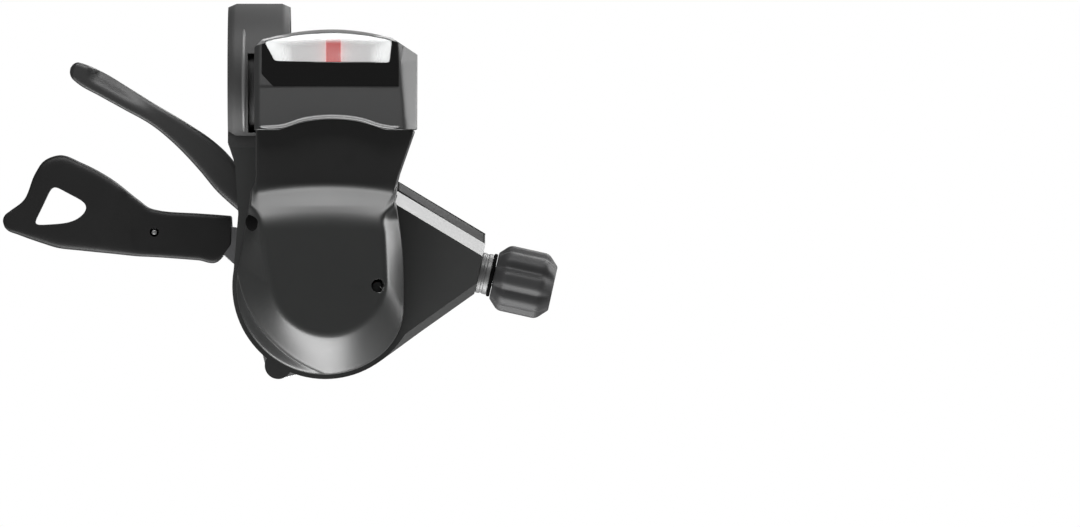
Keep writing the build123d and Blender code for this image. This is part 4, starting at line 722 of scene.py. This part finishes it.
# wall of the window: the rim carried from the front of the paddle to its back, swelling at both mouths
def makeWindowWall(rimAt):
    look = paddle
    turn = fullTurn(look["wallTurns"])
    share = np.linspace(0, 1, look["wallRings"])[:, None]
    radius = rimAt(turn) + look["mouthGap"] + look["mouthSwell"] * (np.abs(2 * share - 1) ** 4 - 1)
    flat = np.array(look["windowCentre"]) + radius[..., None] * toward(turn)
    sweep, step = paddleSetback(flat)
    front = look["frontY"] + sweep + step + look["mouthGap"]
    back = look["backY"] + sweep - look["mouthGap"]
    return upright(flat, front + (back - front) * share)


windowRim = polygonRim(paddle["windowCorners"], paddle["windowCentre"], paddle["windowRound"])
paddlePiece = gridPiece("thumbPaddle", makePaddle(), wrapColumns=True, flip=True,
                        holes=[(*paddle["windowCentre"], paddle["throughY"], windowRim)], through=True)
dress(paddlePiece, "lever_plastic", "main_lever", "main_lever_paddle")
windowPiece = gridPiece("paddleWindow", makeWindowWall(windowRim), wrapColumns=True, flip=True)
thicken(windowPiece, paddle["windowWall"])
dress(windowPiece, "lever_plastic", "main_lever")


# head of the rivet: a shallow dome of rings, facing the front
rivet = {"at": (-20.6, 16.92, -30.0), "radius": 0.5, "rise": 0.18, "wall": 0.3, "turns": 48, "rings": 12}


def makeRivet():
    look = rivet
    share = np.linspace(0.0, 1.0, look["rings"])[:, None]
    flat = look["radius"] * share[..., None] * toward(fullTurn(look["turns"]))
    return np.array(look["at"]) + upright(flat, -look["rise"] * (1 - share ** 2))


rivetPiece = gridPiece("rivetDot", makeRivet(), wrapColumns=True)
thicken(rivetPiece, rivet["wall"])
dress(rivetPiece, "collar", "main_lever")
print("thumb paddle:", len(paddlePiece.data.polygons), "faces")


# display face over the plain cap: rays from the window's rim to the outline, depth from the height,
# with a slanted right side and a raised inlay
display = {"centre": (13.3, 4.9), "raise": 0.45, "grow": 0.12, "low": ((-0.6, -10.4), (4.0, -10.4)),
           "arch": ((4.0, -10.4), (9.0, -8.85), (14.25, -8.3), (19.5, -8.85), (24.5, -10.4)),
           "right": ((30.4, -10.4), (30.4, 4.0), (25.5, 7.2)),
           "crown": ((25.5, 7.2), (20.0, 8.3), (14.4, 8.7), (7.5, 8.25), (1.0, 6.9)),
           "left": ((-0.6, 5.4), (-0.6, -10.4)),
           "window": ((1.1, 6.7), (7.5, 7.95), (14.4, 8.4), (20.0, 8.0), (25.7, 6.95), (25.2, 2.4), (3.2, 2.75)),
           "windowRound": 22.0, "rimDepth": 0.9, "wall": 3.2,
           "heights": (-10.6, 2.6, 6.6, 7.6, 9.0), "fronts": (-24.53, -22.2, -21.5, -21.1, -19.9),
           "bevelX": 27.3, "bevelLean": 0.085, "bevelSlope": 1.333, "soft": 0.25, "leftX": 0.2, "leftSlope": 1.0,
           "leftSoft": 0.15, "inlayRise": 0.12, "inlayBlur": 0.15, "inlayEnd": (26.4, 27.2), "edgeFrom": 0.985,
           "edgeDrop": 0.3, "archSteps": 60, "outlineSteps": 4000, "rays": 460, "columns": 100,
           "paneOver": 0.15, "paneBack": 0.3, "paneWall": 0.25, "paneTurns": 240, "paneRings": 30}
displayRim = polygonRim(display["window"], display["centre"], display["windowRound"])


# depth of the display's front at a height
def displayFront(z):
    return np.interp(z, display["heights"], display["fronts"]) - display["raise"]


# corner that bends softly: zero before, rising straight after
def softRise(value, soft):
    return soft * np.logaddexp(0.0, value / soft)


def makeDisplay():
    look = display
    steps = np.linspace(0, 1, look["archSteps"])
    even = np.linspace(0, 1, len(look["arch"]))
    outline = np.concatenate([np.array(look["low"]), throughKnots(even, look["arch"], steps), np.array(look["right"]),
                              throughKnots(even, look["crown"], steps), np.array(look["left"])])
    centre = np.array(look["centre"])
    fine = alongLine(outline, look["outlineSteps"]) - centre
    angles = np.unwrap(np.arctan2(fine[:, 1], fine[:, 0]))
    turn = np.linspace(angles[0], angles[0] + 2 * np.pi, look["rays"], endpoint=False)
    radius = np.interp(turn, angles, np.hypot(*fine.T)) + look["grow"]
    rim = centre + toward(turn) * displayRim(turn)[:, None]
    edge = centre + toward(turn) * radius[:, None]
    share = np.linspace(0, 1, look["columns"])
    flat = rim[:, None] + (edge - rim)[:, None] * share[None, :, None]
    x, z = flat[..., 0], flat[..., 1]
    y = displayFront(z)
    y += look["bevelSlope"] * softRise(x - look["bevelX"] + look["bevelLean"] * z, look["soft"])
    y += look["leftSlope"] * softRise(look["leftX"] - x, look["leftSoft"])
    inlaid = smoothStep(z, inlay["low"] - look["inlayBlur"], inlay["low"] + look["inlayBlur"])
    y -= look["inlayRise"] * inlaid * (1 - smoothStep(x, *look["inlayEnd"]))
    y += look["edgeDrop"] * np.clip((share - look["edgeFrom"]) / (1 - look["edgeFrom"]), 0, 1)[None, :] ** 2
    face = upright(flat, y)
    inner = face[:, :1] + np.array([0, look["rimDepth"], 0])
    outer = face[:, -1:] + np.array([0, look["wall"], 0])
    return np.concatenate([inner, face, outer], axis=1)


# window pane just behind the rim: rays from the centre out to a little past the rim
def makePane():
    look = display
    turn = fullTurn(look["paneTurns"])
    reach = displayRim(turn) + look["paneOver"]
    share = np.linspace(0, 1, look["paneRings"])[:, None, None]
    flat = np.array(look["centre"]) + share * reach[:, None] * toward(turn)
    return upright(flat, displayFront(flat[..., 1]) - look["inlayRise"] + look["paneBack"])


panePiece = gridPiece("windowPane", makePane(), wrapColumns=True)
thicken(panePiece, display["paneWall"])
dress(panePiece, "lens", "bracket")
displayPiece = gridPiece("displayFace", makeDisplay(), wrapRows=True, wrapColumns=True, flip=True)
dress(displayPiece, "cover_shell", "bracket", finish="display")
print("display face:", len(displayPiece.data.polygons), "faces")


# raised strip: a round bead carried along a smooth line, closed to a point at both ends
def makeBead(knots, radius, stations=90, ring=16):
    knots = np.array(knots, dtype=float)
    reach = np.concatenate([[0.0], np.cumsum(np.linalg.norm(np.diff(knots, axis=0), axis=1))])
    steps = np.linspace(0, 1, stations)
    line = throughKnots(reach / reach[-1], knots, steps)
    along = np.gradient(line, axis=0)
    along /= np.linalg.norm(along, axis=1, keepdims=True)
    side = np.cross(along, (0.0, 1.0, 0.0))
    side /= np.linalg.norm(side, axis=1, keepdims=True)
    front = np.cross(side, along)
    turn = fullTurn(ring)
    size = radius * np.sqrt(1 - np.abs(2 * steps - 1) ** 10)
    around = np.cos(turn)[None, :, None] * side[:, None] + np.sin(turn)[None, :, None] * front[:, None]
    return line[:, None] + size[:, None, None] * around


# bead under the display, along its arch, in a light grey finish: a painted highlight on the cap's lower edge
lipHighlightBead = {"bead": 0.36, "proud": 0.15,
           "line": ((0.3, -9.85), (2.4, -9.9), (4.4, -9.75), (9.0, -8.4), (14.25, -7.9), (19.5, -8.4), (24.1, -9.75),
                    (25.6, -9.95), (27.2, -9.85))}
lipHighlightKnots = [(x, displayFront(z) - lipHighlightBead["proud"], z) for x, z in lipHighlightBead["line"]]
lipHighlightPiece = gridPiece("lipHighlightBead", makeBead(lipHighlightKnots, lipHighlightBead["bead"]), wrapColumns=True)
dress(lipHighlightPiece, "collar", "bracket", finish="lip")

# light grey strip down the front of the clamp ring: a painted highlight
ringHighlightStrip = {"x": -2.85, "radius": 13.72, "from": 42.0, "to": -52.0, "bead": 0.5, "knots": 12}
ringHighlightTurn = np.radians(np.linspace(ringHighlightStrip["from"], ringHighlightStrip["to"], ringHighlightStrip["knots"]))
ringHighlightLine = np.stack([np.full(ringHighlightStrip["knots"], ringHighlightStrip["x"]), -ringHighlightStrip["radius"] * np.cos(ringHighlightTurn),
                      ringHighlightStrip["radius"] * np.sin(ringHighlightTurn)], axis=-1)
ringHighlightPiece = gridPiece("ringHighlightStrip", makeBead(ringHighlightLine, ringHighlightStrip["bead"]), wrapColumns=True)
dress(ringHighlightPiece, "collar", "bracket")
print("beads:", len(lipHighlightPiece.data.polygons) + len(ringHighlightPiece.data.polygons), "faces")


# wedge along the wing's upper edge: a three-sided section, thin at the top, carried along a straight line
wingStrip = {"fromX": 26.6, "toX": 43.45, "atX": 28.0, "topZ": -21.15, "slope": -0.605, "widths": (1.6, 2.05),
             "backY": 5.7, "thinY": 5.3, "thickY": 4.65, "round": 0.15, "stations": 40}


def makeWedge():
    look = wingStrip
    share = np.linspace(0, 1, look["stations"])[:, None]
    x = look["fromX"] + (look["toX"] - look["fromX"]) * share
    top = np.hstack([x, look["topZ"] + look["slope"] * (x - look["atX"])])
    low = top - np.array([0.0, 1.0]) * (look["widths"][0] + (look["widths"][1] - look["widths"][0]) * share)
    start = upright((top + low) / 2, look["backY"])
    corners = [start, upright(low, look["backY"]), upright(low, look["thickY"]), upright(top, look["thinY"]),
               upright(top, look["backY"]), start]
    section = roundedSection(corners, [look["round"]] * 4, 5, (1, 2, 4, 2))
    return closedEnd(closedEnd(section)[::-1])


wingPiece = gridPiece("wingStrip", makeWedge(), wrapColumns=True, flip=True)
dress(wingPiece, "bracket_paint", "bracket")


# turned pieces on the cable line: a profile of distance and radius carried round, with soft flutes in the outside
cable = {"at": (14.445, 3.0, -31.58), "tilt": 12.5}
knob = {"profile": ((32.0, 3.85), (31.5, 3.85), (31.5, 4.5), (33.4, 6.4), (41.0, 6.4), (43.1, 4.3), (43.1, 3.85),
                    (42.0, 3.85)),
        "cuts": (0.1, 0.3, 0.8, 0.8, 0.4, 0.15), "ring": 240,
        "flutes": 8, "fluteDepth": 0.75, "fluteShape": 2.2, "fluteFrom": 4.4, "fluteRun": 1.6}
sleeve = {"profile": ((28.55, 3.0), (28.55, 3.95), (29.3, 3.95), (29.45, 3.7), (29.7, 3.7), (29.85, 3.95), (30.7, 3.95),
                      (30.7, 3.0)),
          "cuts": (0.15, 0.1, 0.08, 0.08, 0.1, 0.15), "ring": 120}
# near-black ring between the collar and the knob: painted shade in the gap
gapShadeRing = {"profile": ((30.72, 2.6), (30.72, 4.2), (31.42, 4.2), (31.42, 2.6)), "cuts": (0.3, 0.3), "ring": 120}


def makeTurned(look):
    corners = [np.array([corner], dtype=float) for corner in look["profile"]]
    spans = [5] * len(look["cuts"])
    section = np.concatenate([roundedSection(corners, look["cuts"], 7, spans)[0], corners[-1]])
    turn = fullTurn(look["ring"])
    radius = section[:, None, 1] + 0 * turn
    if "flutes" in look:
        dip = look["fluteDepth"] * (0.5 - 0.5 * np.cos(look["flutes"] * turn)) ** look["fluteShape"]
        radius -= dip * np.clip((radius - look["fluteFrom"]) / look["fluteRun"], 0, 1)
    tilt = math.radians(cable["tilt"])
    along = np.array([math.cos(tilt), 0, -math.sin(tilt)])
    up = np.array([math.sin(tilt), 0, math.cos(tilt)])
    away = np.cos(turn)[:, None] * up + np.sin(turn)[:, None] * np.array([0.0, 1.0, 0.0])
    return np.array(cable["at"]) + section[:, None, :1] * along + radius[..., None] * away[None]


knobPiece = gridPiece("knobSkin", makeTurned(knob), wrapRows=True, wrapColumns=True)
dress(knobPiece, "knob", "adjuster_knob", "adjuster_knob")
sleevePiece = gridPiece("collarSleeve", makeTurned(sleeve), wrapRows=True, wrapColumns=True)
dress(sleevePiece, "collar", "bracket")
gapShadePiece = gridPiece("collarGapShade", makeTurned(gapShadeRing), wrapRows=True, wrapColumns=True)
dress(gapShadePiece, "plug_rubber", "bracket")
print("turned pieces:", sum(len(piece.data.polygons) for piece in (knobPiece, sleevePiece, gapShadePiece)), "faces")


# floor: wide plane far below; to the camera it is nearly as white as the world, so that no horizon shows
stage = {"floorZ": -330.0, "half": 4000.0, "bounce": 0.55, "shown": 0.95, "white": 0.97, "roughness": 0.9}
spread = np.linspace(-stage["half"], stage["half"], 3)
floorX, floorY = np.meshgrid(spread, spread, indexing="ij")
floor = gridPiece("floor", np.stack([floorX, floorY, np.full_like(floorX, stage["floorZ"])], axis=-1))
floorMaterial, floorTree, floorShader = newMaterial("paleFloor")
floorGlow = floorTree.nodes.new("ShaderNodeEmission")
floorMix = floorTree.nodes.new("ShaderNodeMixShader")
toCamera = floorTree.nodes.new("ShaderNodeLightPath").outputs["Is Camera Ray"]
floorTone = addMix(floorTree, "RGBA", toCamera, tone(stage["bounce"]), tone(stage["shown"]))
feed(floorTree, floorShader, {"Base Color": floorTone, "Roughness": stage["roughness"]})
feed(floorTree, floorGlow, {"Color": tone(1.0)})
feed(floorTree, floorMix, {"Fac": addMath(floorTree, "MULTIPLY", toCamera, stage["white"]),
                           1: floorShader.outputs["BSDF"], 2: floorGlow.outputs["Emission"]})
feed(floorTree, floorTree.nodes["Material Output"], {"Surface": floorMix.outputs["Shader"]})
floor.data.materials.append(floorMaterial)

# world: white to the camera; reflections see it bright around the sides and dark behind the camera
surround = {"ambient": 0.35, "sides": 0.3, "front": 0.12, "darkFrom": -0.95, "brightFrom": 0.1}
world = bpy.data.worlds.new("studio")
scene.world = world
world.use_nodes = True
skyTree = world.node_tree
skyRay = skyTree.nodes.new("ShaderNodeLightPath").outputs
skyPlace = skyTree.nodes.new("ShaderNodeTexCoord")
skyAxis = skyTree.nodes.new("ShaderNodeSeparateXYZ")
feed(skyTree, skyAxis, {"Vector": skyPlace.outputs["Generated"]})
mirrored = addRange(skyTree, skyAxis.outputs["Y"], surround["darkFrom"], surround["brightFrom"],
                    surround["front"], surround["sides"])
unseen = addMix(skyTree, "FLOAT", skyRay["Is Glossy Ray"], surround["ambient"], mirrored)
clear = addMath(skyTree, "MAXIMUM", skyRay["Is Camera Ray"], skyRay["Is Transmission Ray"])
feed(skyTree, skyTree.nodes["Background"], {"Color": tone(1.0), "Strength": addMix(skyTree, "FLOAT", clear, unseen, 1.0)})

# soft boxes: one above in front, one high behind at the right, one at the right and one below
boxes = {
    "boxTop": {"at": (10, -260, 330), "size": (420, 200), "glow": 12.0},
    "boxRim": {"at": (250, 240, 330), "size": (300, 240), "glow": 11.0},
    "boxRight": {"at": (320, 110, 10), "size": (260, 190), "glow": 7.0},
    "boxLow": {"at": (-45, -42, -262), "size": (150, 290), "glow": 14.0},
}
aim = np.array([12.0, -10.0, -30.0])
for name, box in boxes.items():
    lampData = bpy.data.lights.new(name, "AREA")
    lampData.shape = "RECTANGLE"
    lampData.size = box["size"][0] * mm
    lampData.size_y = box["size"][1] * mm
    lampData.energy = box["glow"] * math.pi * lampData.size * lampData.size_y
    lamp = bpy.data.objects.new(name, lampData)
    lamp.location = np.array(box["at"]) * mm
    away = np.array(box["at"]) - aim
    down = math.atan2(math.hypot(away[0], away[1]), away[2])
    lamp.rotation_euler = (down, 0, math.atan2(away[1], away[0]) + math.pi / 2)
    lamp.visible_camera = False
    scene.collection.objects.link(lamp)
print("stage and lights ready")

bpy.context.view_layer.update()
